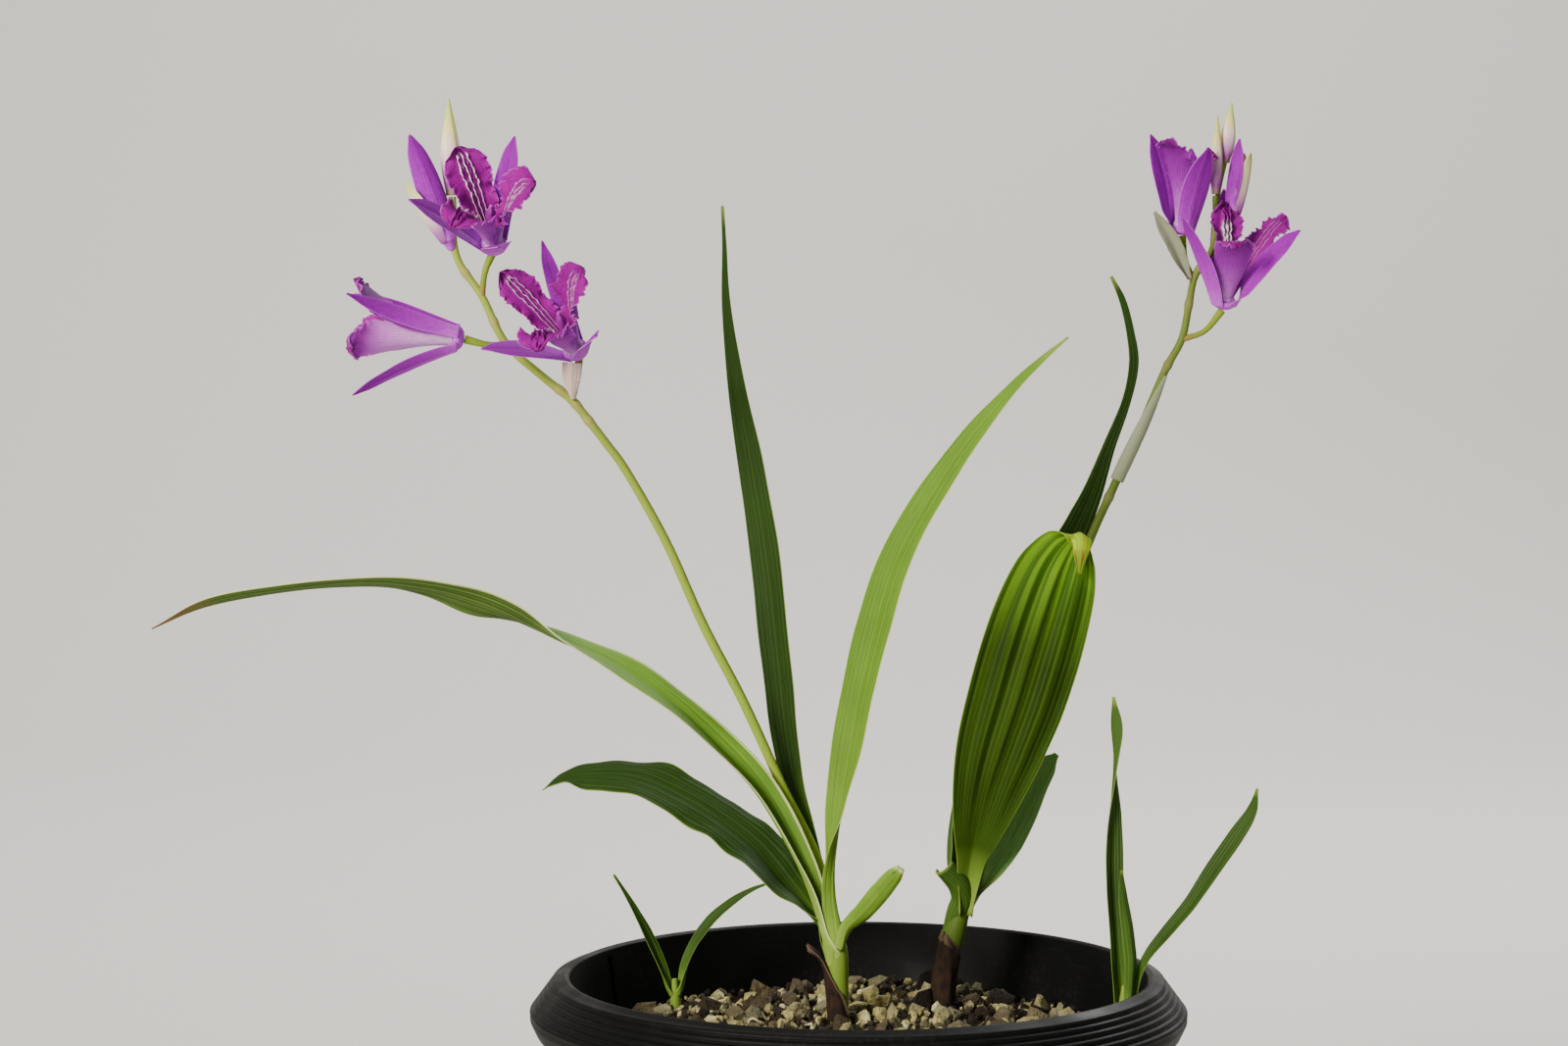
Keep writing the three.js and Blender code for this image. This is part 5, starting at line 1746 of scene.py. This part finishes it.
@dataclass
class FloweringGrowth:
    """A leafy growth in flower: its stem, its flower stalk, its leaves and sheaths, its blooms and buds."""

    key: str
    stem: Strand
    stem_skin: Finish
    scape: Strand
    scape_skin: Finish
    pedicels: Sequence[Strand]
    blades: Sequence[Leaf | Sheath]
    blooms: Sequence[Bloom]
    buds: Sequence[Bud]
    stem_sides: int = 28

    def build(self, stalks: StalkGrowth) -> None:
        """Makes the growth and dresses it.

        Args:
            stalks: the tree that sweeps its stalks.
        """
        stem = stalks.mesh([self.stem], self.stem_skin, self.stem_sides)
        piece_of(f"pseudostem_{self.key}", stem, self.stem_skin, [f"pseudostem_{self.key}"])
        name = f"flower_stalk_{self.key}"
        parts = stalks.mesh([self.scape], self.scape_skin), stalks.mesh(self.pedicels, PEDICEL_SKIN)
        piece_of(name, joined(name, parts), self.scape_skin, [f"scape_{self.key}"])
        for part in (*self.blades, *self.blooms, *self.buds):
            part.build()


STEM_A = [[-4.2, 14, 88], [-4.2, 14, 101], [-4.6, 14, 114], [-4.9, 14, 122], [-5.7, 14, 127.4]]
STEM_B = [[21.4, 33, 88], [21.6, 33, 101], [22.8, 33, 114], [24.6, 33, 122], [27, 33, 130]]
PEDICEL_RADII = (0.85, 0.72, 0.8, 1.05)
TALL_GROWTH = FloweringGrowth(
    "a", Strand([*STEM_A, [-6.0, 14, 131.6]], [2.1, 2.1, 2.35, 2.5, 2.6, 1.2]), PSEUDOSTEM_SKIN,
    scape=Strand(
        [
            [-6.1, 14.8, 126.8], [-9.8, 17.4, 144.6], [-18.4, 16.4, 162.9], [-28.1, 13, 184.6],
            [-37.8, 9, 203.9], [-46.8, 6, 224.5], [-56.2, 3, 241.7], [-61, 1.5, 248.6], [-65.5, 0, 254.6],
            [-69.4, -1, 259.4], [-77.1, -2.5, 265.8], [-85.2, -4, 273.4], [-90.6, -5, 284.5],
            [-96.6, -6, 294.2], [-97.3, -7.5, 308],
        ],
        [1.5, 1.25, 1.2, 1.2, 1.15, 1.1, 1.05, 1, 0.9, 0.9], nodes=(0.685, 0.71, 0.735, 0.845, 0.91),
    ),
    scape_skin=SCAPE_SKIN,
    pedicels=(
        Strand([[-90.6, -5, 284.2], [-89.7, -6, 290.3], [-87.9, -5, 294.8]], PEDICEL_RADII),
        Strand([[-69.4, -1, 258.6], [-67.9, -1.6, 264.6], [-67.6, 0, 269.6]], PEDICEL_RADII),
        Strand([[-84.6, -4, 272.8], [-88.9, -6.5, 272.7], [-94.4, -7.9, 274.1]], (1.0, 0.8, 0.85, 1.1)),
    ),
    blades=(
        Leaf(
            "leaf_a4", 0,
            [
                [-4.9, 13.4, 118.6, 7, 45, 62], [-5.2, 12.2, 127, 8, 45, 62],
                [-6.6, 11.6, 136.5, 7, 30, 58], [-6.6, 11, 145, 6.5, 0, 50], [-5, 10.5, 157, 8, -35, 38],
                [-2.5, 10, 172, 10, -52, 25], [0.7, 9, 189, 11, -50, 18], [4.2, 8, 203.5, 11, -50, 15],
                [9, 6, 219.5, 10.5, -46, 12], [17.8, 4, 236, 9.5, -43, 10], [26.7, 2, 249.5, 7.5, -40, 8],
                [36.8, 0, 261.8, 4, -38, 5], [44, -1, 269, 2.4, -38, 0], [50.4, -2, 274.5, 0.9, -38, 0],
            ],
            finish=UPRIGHT_LEAF, seed=2, clasp=0.17,
        ),
        Leaf(
            "leaf_a1", 180,
            [
                [-5.4, 13.6, 119.5, 6, 0, 58], [-8, 13, 129, 7, 30, 62], [-12.4, 12.5, 142, 9.6, 40, 58],
                [-18, 12, 153.2, 11, 40, 54], [-24.7, 11, 164, 11.6, 38, 46],
                [-34.2, 9, 174.7, 11.6, 34, 34], [-46.2, 6, 185.8, 11.2, 30, 22],
                [-59.6, 3, 194.8, 11, 22, 14], [-73.4, 0, 202, 11, 0, 24],
                [-84.5, -3, 207.4, 11, -30, 18], [-94, -5, 210.8, 10.8, -46, 8],
                [-104.5, -7, 214, 9.4, -32, 10], [-119, -10, 216, 7.4, -22, 14],
                [-137.5, -13, 214.5, 6, -24, 12], [-155.5, -16, 211.5, 4, -32, 8],
                [-168.5, -18, 205.5, 0.9, -25, 0],
            ],
            seed=3, rows=140, ripple=0.6, clasp=0.11,
        ),
        Leaf(
            "leaf_a3", 90,
            [
                [-5.5, 14.6, 119.5, 6, 10, 58], [-7.4, 17, 131, 6.4, 10, 55],
                [-11.5, 20.5, 148.5, 6.8, 25, 38], [-15.5, 21.5, 163, 7.5, 30, 28],
                [-18, 22, 178, 8.5, 30, 22], [-20, 23, 197, 9, 30, 18], [-22.5, 25, 219, 9, 30, 15],
                [-26, 27, 241, 7.5, 28, 12], [-30, 29, 263, 4.8, 25, 10], [-32.5, 31, 282.5, 2.4, 20, 5],
                [-33, 33, 297, 1.2, 15, 0], [-33.5, 34, 306.8, 0.9, 10, 0],
            ],
            finish=REAR_LEAF, seed=4, clasp=0.15,
        ),
        Leaf(
            "leaf_a2", 150,
            [
                [-5.4, 14.4, 118.5, 6.4, 0, 50], [-7.2, 15.5, 126.5, 7, 0, 50],
                [-12.4, 17, 133.6, 12, 12, 35], [-18.4, 19.6, 139.8, 15, 22, 25],
                [-25.2, 23, 146.8, 15, 30, 15], [-33.6, 27, 152.8, 14.2, 30, 10],
                [-43.6, 31, 158.2, 14.4, 28, 8], [-55, 35, 162.6, 14, 30, 6],
                [-67.5, 38, 163, 10.5, 32, 5], [-75, 39, 161.8, 6, 25, 3], [-79.5, 40, 159, 0.9, 25, 0],
            ],
            finish=REAR_LEAF, seed=5, ripple=1.3, clasp=0.16,
        ),
        Leaf(
            "leaf_a5", -45,
            [
                [-4.4, 11.6, 123.6, 3, 10, 50], [-2.6, 8.6, 129.4, 3.8, 40, 35],
                [1, 5, 133.4, 4.8, 52, 20], [3.8, 2, 137.2, 5.2, 52, 14], [6.4, -0.5, 140.8, 5, 52, 12],
                [8.6, -2.7, 143.9, 4.2, 52, 10], [10.1, -4.2, 145.9, 2.4, 52, 0],
            ],
            finish=YOUNG_LEAF, slot="young_leaf", thickness=1.7, rows=60, seed=6, flute=0.06,
        ),
        Sheath(
            "sheath_a", STEM_A, [0.33, 0.42, 0.55, 0.7, 0.85], [2.9, 3.0, 3.3, 4.4, 7.2],
            [150, 120, 62, 26, 8], [150, 120, 62, 26, 8], 180, BROWN_SHEATH, "dry_sheath", ("sheath_a",),
            tear=0.07, wrinkle=0.16,
        ),
        Leaf(
            "bract_a", -105,
            [
                [-69, -2.9, 259.6, 1.6, 0, 40], [-69.3, -4, 262.6, 4.2, 0, 35],
                [-69.3, -4.6, 265.6, 5.6, 0, 30], [-69.2, -4.8, 268.4, 5.4, 0, 25],
            ],
            finish=PAPERY_BRACT, slot="papery_bract", thickness=0.3, rows=30, columns=24, seed=8,
            flute=0.2,
        ),
    ),
    blooms=(
        Bloom(
            "a1", at=[-87.5, -6, 296.6], axis=[-0.07, -0.79, 0.6],
            sepals=[[52, 24, 28, 0.85], [183, 33, 26], [280, 35, 27]],
            lips=[
                [113, 25, 25, 1.06, 20, 0, 0.9, 0.15], [354, 22, 25.5, 1.35, 35, 0, 0.3, 0.08],
                [236, 21, 26, 1.15, 80, 0, 1.8, 0.12],
            ],
            seed=1,
        ),
        Bloom(
            "a2", at=[-68.2, -1, 271.2], axis=[-0.32, -0.75, 0.58],
            sepals=[[63, 22, 28.5, 0.65], [191, 37, 26], [292, 38, 27.5]],
            lips=[
                [116, 28, 25.5, 0.85, 15, 0, 0.45, 0.15], [1, 20, 25.5, 1.3, 30, 0, 0.25, 0.08],
                [244, 25, 26, 1.15, 75, 0, 1.8, 0.12],
            ],
            seed=2,
        ),
        Bloom(
            "a3", at=[-95.9, -8, 274.4], axis=[-0.99, -0.05, 0.12],
            sepals=[[300, 24, 29.5, 0.62], [210, 34, 27.8, 0.9], [59, 22, 29]],
            lips=[
                [335, 20, 27, 1.05, 30, 0, 0.6, 0.7], [238, 15, 26.5, 1, 45, 0, 0.6, 0.66],
                [111, 16, 26.5, 1, 20],
            ],
            seed=3, pale=(1, 2),
        ),
        OpeningBud(
            "opening_bud_a", at=[-98.2, -7, 297.4], axis=[-0.34, -0.18, 0.93],
            sepals=[[283, 2, 27.5], [212, 11, 17.5, 1.0], [65, 3, 22, 0.85]], lips=[], core=17, seed=6,
        ),
    ),
    buds=(Bud("bud_a", [-97.3, -7.6, 308.4], [-98, -8, 331.3], 4.8),),
)
RIGHT_GROWTH = FloweringGrowth(
    "b", Strand([*STEM_B, [28.6, 33, 134.5]], [2.1, 2.2, 2.5, 2.7, 2.6, 1.2]), SHADED_PSEUDOSTEM_SKIN,
    scape=Strand(
        [
            [27.2, 33.6, 129.2], [33, 36, 151], [41.5, 39, 176], [52.7, 42, 205.4], [60.2, 43.5, 224],
            [65.7, 44.5, 236.1], [71.5, 45, 248.8], [78.4, 46, 264.9], [82.9, 46, 273.6],
            [84.8, 46, 283.5], [86.2, 46, 289.6], [90.2, 46, 295.6], [91.2, 46, 302], [91.1, 46, 309.6],
        ],
        [1.5, 1.3, 1.25, 1.2, 1.2, 1.2, 1.15, 1.1, 1.1, 1, 1, 0.95, 0.9, 0.8],
        nodes=(0.575, 0.765, 0.85, 0.9),
    ),
    scape_skin=DARK_SCAPE_SKIN,
    pedicels=(
        Strand([[83, 46, 273.4], [88.6, 45.6, 275.4], [93, 46.7, 280.6]], PEDICEL_RADII),
        Strand([[85.6, 46, 288.4], [83.6, 46.6, 293.6], [82.9, 47.4, 299.4]], PEDICEL_RADII),
        Strand([[91, 46, 304], [92, 47.1, 311], [93.6, 47.9, 318.6]], (0.75, 0.65, 0.8)),
        Strand([[90.4, 46, 296.6], [92.9, 46, 300.4], [95.0, 46, 304]], (0.85, 0.75, 1)),
    ),
    blades=(
        Leaf(
            "leaf_b1", 90,
            [
                [27.6, 30.8, 128.5, 4.4, 0, 55], [28.8, 29, 142, 8, 0, 30],
                [30.8, 26.5, 152.5, 14, 0, 15], [33.2, 24, 163, 19, 0, 8], [36, 22, 173, 22.5, 0, 0],
                [39.4, 20, 184, 24.5, 0, 0], [42.6, 19, 195, 25, 0, 0], [46, 19, 206, 24, 0, -5],
                [49, 20, 214.5, 21.4, 0, -5], [51.4, 21, 219.6, 17.4, 0, 2],
                [53.4, 21.6, 222.8, 13, 0, 16], [54.9, 20.8, 224.6, 9, 0, 36],
                [55.6, 18.8, 224, 6.2, 0, 36], [55.2, 17.2, 220.6, 3.8, 0, 20],
                [54.8, 16, 216, 0.9, 0, 0],
            ],
            finish=PLEATED_LEAF, pleats=4, pleat_height=0.5, flute=0, ripple=0.3, columns=80, rows=130,
            seed=9, arch=0.02, clasp=0.08, stem_radius=2.6,
        ),
        Leaf(
            "leaf_b2", 20,
            [
                [28.9, 33.6, 130.4, 5, -10, 55], [34, 35.5, 139, 7.6, -52, 30],
                [38, 37.5, 145.5, 8.8, -60, 20], [41.8, 39.5, 152.8, 8.8, -62, 15],
                [45.2, 41, 159.8, 7.6, -60, 10], [48.6, 42, 164.9, 5.6, -60, 5],
                [51.4, 42.5, 167.9, 1.4, -60, 0],
            ],
            finish=SHEEN_PALED_LEAF, seed=10, rows=80,
        ),
        Leaf(
            "leaf_b3", 130,
            [
                [26, 36, 130.4, 5, 0, 55], [24.2, 37.5, 142, 8, -30, 35], [25.2, 40, 154, 10, -35, 22],
                [28.4, 43, 167, 10, -35, 15], [33, 46, 180, 8, -35, 10], [37, 48, 190, 5, -35, 5],
                [40, 50, 197, 0.9, -35, 0],
            ],
            finish=REAR_LEAF, seed=11, rows=80,
        ),
        Leaf(
            "leaf_b4", 80,
            [
                [28, 36.6, 131, 5, 0, 55], [33, 41, 155, 8, -5, 30], [40, 44, 180, 9.5, -10, 22],
                [46.5, 46.5, 200, 10, -15, 18], [52.3, 48, 216, 9.5, -18, 15],
                [57, 49.5, 226, 7.5, -25, 12], [61, 50.5, 235, 5.6, -30, 10],
                [65, 51.5, 246, 3.6, -30, 8], [69.5, 53, 257.5, 2.6, -30, 5],
                [71.5, 55, 267, 2.8, -25, 5], [70.7, 56, 275, 2.2, -20, 3], [68.8, 57, 283, 1.8, -10, 0],
                [65.8, 57, 289.3, 0.9, 0, 0],
            ],
            finish=REAR_LEAF, seed=12,
        ),
        Leaf(
            "leaf_b5", -90,
            [
                [24.3, 33, 119.5, 10, 0, 0], [25, 33, 124, 10, 0, 0], [25.9, 32.4, 128.4, 9, 0, 0],
                [27, 31.4, 132, 8, 0, 0], [26, 30.4, 135.6, 7, 10, 0], [23.8, 29.6, 138.4, 6.6, 20, 0],
                [21.7, 29, 140.6, 6.4, 30, 0],
            ],
            finish=SHOOT_LEAF, slot="young_leaf", rows=70, seed=13, flute=0.04, ripple=0.5, clasp=6,
            stem_radius=2.7,
        ),
        Sheath(
            "sheath_b", STEM_B, [0.33, 0.45, 0.58, 0.68, 0.76], [3.1, 3.0, 2.9, 3.0, 3.3],
            [178, 178, 176, 140, 50], [178, 178, 176, 140, 50], 190, BROWN_SHEATH, "dry_sheath",
            ("sheath_b",), tear=0.06, wrinkle=0.22, seed=14,
        ),
        Sheath(
            "scape_sheath_b", [[65.7, 44.5, 236.1], [71.5, 45, 248.8], [78.4, 46, 264.9]],
            [0.06, 0.25, 0.5, 0.75, 0.98], [1.6, 1.65, 1.7, 1.75, 1.8], [160, 120, 80, 45, 12],
            [160, 120, 80, 45, 12], -70, GREEN_BRACT, "stem_sheath", ("scape_sheath_b",), seed=15,
            wrinkle=0.03,
        ),
        Leaf(
            "bract_b", 190,
            [
                [84.4, 44.6, 288.4, 2.2, 60, 45], [82.2, 43.8, 293.2, 4.2, 80, 30],
                [79.9, 43, 298, 4.6, 85, 24], [77.4, 42.5, 302, 3.4, 85, 15],
                [75.3, 42, 305.5, 0.9, 85, 0],
            ],
            finish=GREEN_BRACT, slot="green_bract", thickness=0.3, rows=36, columns=20, seed=16,
            flute=0.1,
        ),
    ),
    blooms=(
        Bloom(
            "b1", at=[93.5, 46, 282.3], axis=[0.06, -0.31, 0.95],
            sepals=[[215, 29, 28], [329, 33, 28, 1.06, 0, -46], [95, 25, 28.5]],
            lips=[
                [269, 31, 25.5, 0.95, 50, 0, 0.3, 0.6], [34, 37, 25.5, 0.9, 20, 0, 0.12, 0.4],
                [112, 9, 24.6, 0.85, 12, 0, 1.7, 0.15],
            ],
            seed=4,
        ),
        Bloom(
            "b2", at=[83, 47, 301.1], axis=[0.02, -0.29, 0.96],
            sepals=[[168, 15, 25, 1, 0, 40], [285, 24, 27.5], [75, 9, 20]],
            lips=[
                [227, 14, 25, 1, 25, 0, 0.3, 0.6], [347, 12, 20, 1, 15, 0, 0.3],
                [107, 11, 17.5, 1, 0, 0, 0.3],
            ],
            seed=5,
        ),
        OpeningBud(
            "opening_bud_b", at=[95.4, 46, 304.4], axis=[0.16, -0.08, 0.98],
            sepals=[[215, 1, 19.5, 0.85], [320, 1, 16.5, 0.8], [80, 1, 16, 0.8]], lips=[], core=13,
            seed=7,
        ),
    ),
    buds=(
        Bud("bud_b1", [91.1, 46, 310], [91.6, 46, 329.8], 3.2, seam_turn=1.1),
        Bud("bud_b2", [93.7, 47.9, 318], [95.3, 48, 333.1], 3.8, seam_turn=0.2),
    ),
)


@dataclass
class YoungShoots:
    """The two young shoots, a small one at the back left and a taller one on the right.

    A stem has its name, route and radii, and a leaf its name, bearing, stem radius and stations.
    """

    stems: tuple[tuple[str, Sequence[Row], Row], ...] = (
        (
            "shoot_c", [[-45.6, 38, 92], [-45.6, 38, 100], [-45.8, 38, 107.4], [-45.9, 38, 111]],
            [1.5, 1.5, 1.4, 0.7],
        ),
        (
            "shoot_d", [[63, -8, 90], [63.2, -8, 102], [64, -8, 112], [64.4, -8, 118]],
            [1.9, 1.9, 1.8, 0.8],
        ),
    )
    leaves: tuple[tuple[str, float, float, Sequence[Row]], ...] = (
        (
            "leaf_c1", 170, 1.5,
            [
                [-46.5, 38.2, 106.6, 2.8, 0, 58], [-49.2, 37, 114.5, 3.4, 35, 35],
                [-52.2, 36, 121.7, 3.4, 38, 25], [-55.6, 35, 128.8, 2.2, 40, 15],
                [-58.7, 34.3, 134.4, 1.2, 40, 5], [-61.2, 34, 138.4, 0.8, 40, 0],
            ],
        ),
        (
            "leaf_c2", 0, 1.5,
            [
                [-45, 38.2, 106.6, 2.8, 0, 58], [-43.2, 38.5, 114.4, 3.4, -35, 38],
                [-40.4, 38.5, 120.6, 3.8, -40, 30], [-36.2, 38.5, 126.3, 3.8, -40, 22],
                [-31, 38.8, 130.8, 2.8, -40, 15], [-26.3, 39, 133.7, 1.6, -40, 5],
                [-22.1, 39.2, 135.3, 0.8, -40, 0],
            ],
        ),
        (
            "leaf_d1", 150, 2.4,
            [
                [64, -7.8, 108, 2.6, 40, 60], [63.3, -7.6, 119.5, 5.6, 40, 42],
                [62.4, -7.4, 130.5, 5.8, 38, 36], [61.6, -7, 142, 5.8, 36, 34],
                [61.5, -6, 153, 5.4, 32, 30], [61.7, -5, 163.5, 4.8, 0, 26],
                [62, -4.5, 171.3, 4, -35, 20], [62.3, -4, 180.3, 3.8, -75, 12],
                [61.6, -4, 187.7, 0.8, -90, 0],
            ],
        ),
        (
            "leaf_d2", -60, 2.4,
            [
                [64.6, -8.6, 109, 2, 10, 50], [65.8, -9.4, 121.9, 3.8, 10, 36],
                [65.1, -10, 130.5, 3.8, 10, 30], [63.7, -10.6, 139.4, 2.6, 10, 15],
                [63.1, -11, 146.5, 0.8, 10, 0],
            ],
        ),
        (
            "leaf_d3", 0, 2.4,
            [
                [65.4, -7.6, 110, 2.4, 0, 58], [67.4, -8.2, 119.4, 3, -20, 42],
                [69.9, -8.8, 125.2, 3.4, -35, 30], [74.3, -9.8, 131.3, 3.8, -45, 22],
                [79.8, -11, 138.4, 4.2, -45, 18], [85.1, -12, 146.9, 4.6, -48, 14],
                [90.3, -13, 154.9, 4.6, -50, 10], [94, -13.5, 161.1, 3.2, -48, 5],
                [95.3, -14, 166.8, 0.8, -45, 0],
            ],
        ),
    )
    stem_sides: int = 24
    first_seed: int = 20

    def build(self, stalks: StalkGrowth) -> None:
        """Makes both shoots and dresses them.

        Args:
            stalks: the tree that sweeps their stems.
        """
        for name, route, radii in self.stems:
            mesh = stalks.mesh([Strand(route, radii)], PSEUDOSTEM_SKIN, self.stem_sides)
            piece_of(name, mesh, PSEUDOSTEM_SKIN, [name])
        for number, (name, bearing, radius, stations) in enumerate(self.leaves):
            Leaf(
                name, bearing, stations, SHOOT_LEAF, "young_leaf", thickness=0.4, clasp=0.25,
                stem_radius=radius, flute=0.1, flutes=2.0, ripple=0.15, rows=70, columns=22,
                seed=self.first_seed + number,
            ).build()


# ------------------------------------------------------------ studio
AIM = (0.0, 0.0, 0.2)


@dataclass
class Studio:
    """The pale floor, the camera, and the soft lights: each with its place, size, power, colour and aim."""

    camera_place: Row = (-0.0181, -0.9, 0.2869)
    camera_pitch: float = 0.0636159
    lens_mm: float = 85.5
    sensor_mm: float = 36.0
    clip: tuple[float, float] = (0.01, 50.0)
    lights: tuple[tuple[str, Row, float, float, str, Row], ...] = (
        ("key_light", (-0.9, -1.15, 0.8), 0.5, 46.0, "fff4e8", AIM),
        ("fill_light", (-0.25, -0.85, 0.06), 0.3, 2.2, "ffffff", AIM),
        ("rim_light", (0.6, 1.0, 1.2), 0.6, 14.0, "ffffff", AIM),
        ("wall_light", (0.0, 0.7, 2.2), 1.5, 60.0, "ffffff", (0.0, 3.4, 1.0)),
    )
    air: str = "e6e8ea"
    air_strength: float = 0.24
    sweep_start: float = 1.3
    sweep_radius: float = 1.4
    half_width: float = 14.0
    wall_height: float = 5.0

    def sweep(self) -> bpy.types.Mesh:
        """Makes the seamless paper: a level floor that curves up behind into a wall."""
        bend = np.linspace(0, np.pi / 2, 25)
        line = [(-self.half_width, 0.0)]
        line += [
            (self.sweep_start + self.sweep_radius * math.sin(a), self.sweep_radius * (1 - math.cos(a)))
            for a in bend
        ]
        line.append((self.sweep_start + self.sweep_radius, self.wall_height))
        count = len(line)
        mesh = bpy.data.meshes.new("floor")
        mesh.from_pydata(
            [(x, y, z) for x in (-self.half_width, self.half_width) for y, z in line], [],
            [(k, k + count, k + count + 1, k + 1) for k in range(count - 1)],
        )
        mesh.shade_smooth()
        return mesh

    def stand(self, name: str, data: bpy.types.ID, place: Row = (0.0, 0.0, 0.0)) -> bpy.types.Object:
        """Stands a floor, light or camera in the scene."""
        item = bpy.data.objects.new(name, data)
        item.location = place
        bpy.context.scene.collection.objects.link(item)
        return item

    def build(self) -> None:
        """Makes the floor, lights, surroundings and camera."""
        mesh = self.sweep()
        mesh.materials.append(SEAMLESS_PAPER.material())
        self.stand("floor", mesh)
        for name, place, size, power, colour, aim in self.lights:
            lamp = bpy.data.lights.new(name, "AREA")
            lamp.size, lamp.energy, lamp.color = size, power, linear(colour)[:3]
            light = self.stand(name, lamp, place)
            light.rotation_euler = (Vector(aim) - Vector(place)).to_track_quat("-Z", "Y").to_euler()
        world = bpy.data.worlds.new("studio")
        world.use_nodes = True
        back = world.node_tree.nodes["Background"].inputs
        feed(world.node_tree, back["Color"], self.air)
        feed(world.node_tree, back["Strength"], self.air_strength)
        lens = bpy.data.cameras.new("camera")
        lens.lens, lens.sensor_width, lens.sensor_fit = self.lens_mm, self.sensor_mm, "HORIZONTAL"
        lens.clip_start, lens.clip_end = self.clip
        camera = self.stand("camera", lens, self.camera_place)
        camera.rotation_euler = (math.pi / 2 - self.camera_pitch, 0.0, 0.0)
        bpy.context.scene.world, bpy.context.scene.camera = world, camera


def main() -> None:
    """Builds the pot, the mix, the growths and the studio, in that order."""
    logging.basicConfig(level=logging.INFO, format="%(message)s")
    pot = NurseryPot()
    pot.build()
    PottingMix().build(pot)
    stalks = StalkGrowth()
    for growth in (TALL_GROWTH, RIGHT_GROWTH, YoungShoots()):
        growth.build(stalks)
    Studio().build()


if __name__ == "__main__":
    main()
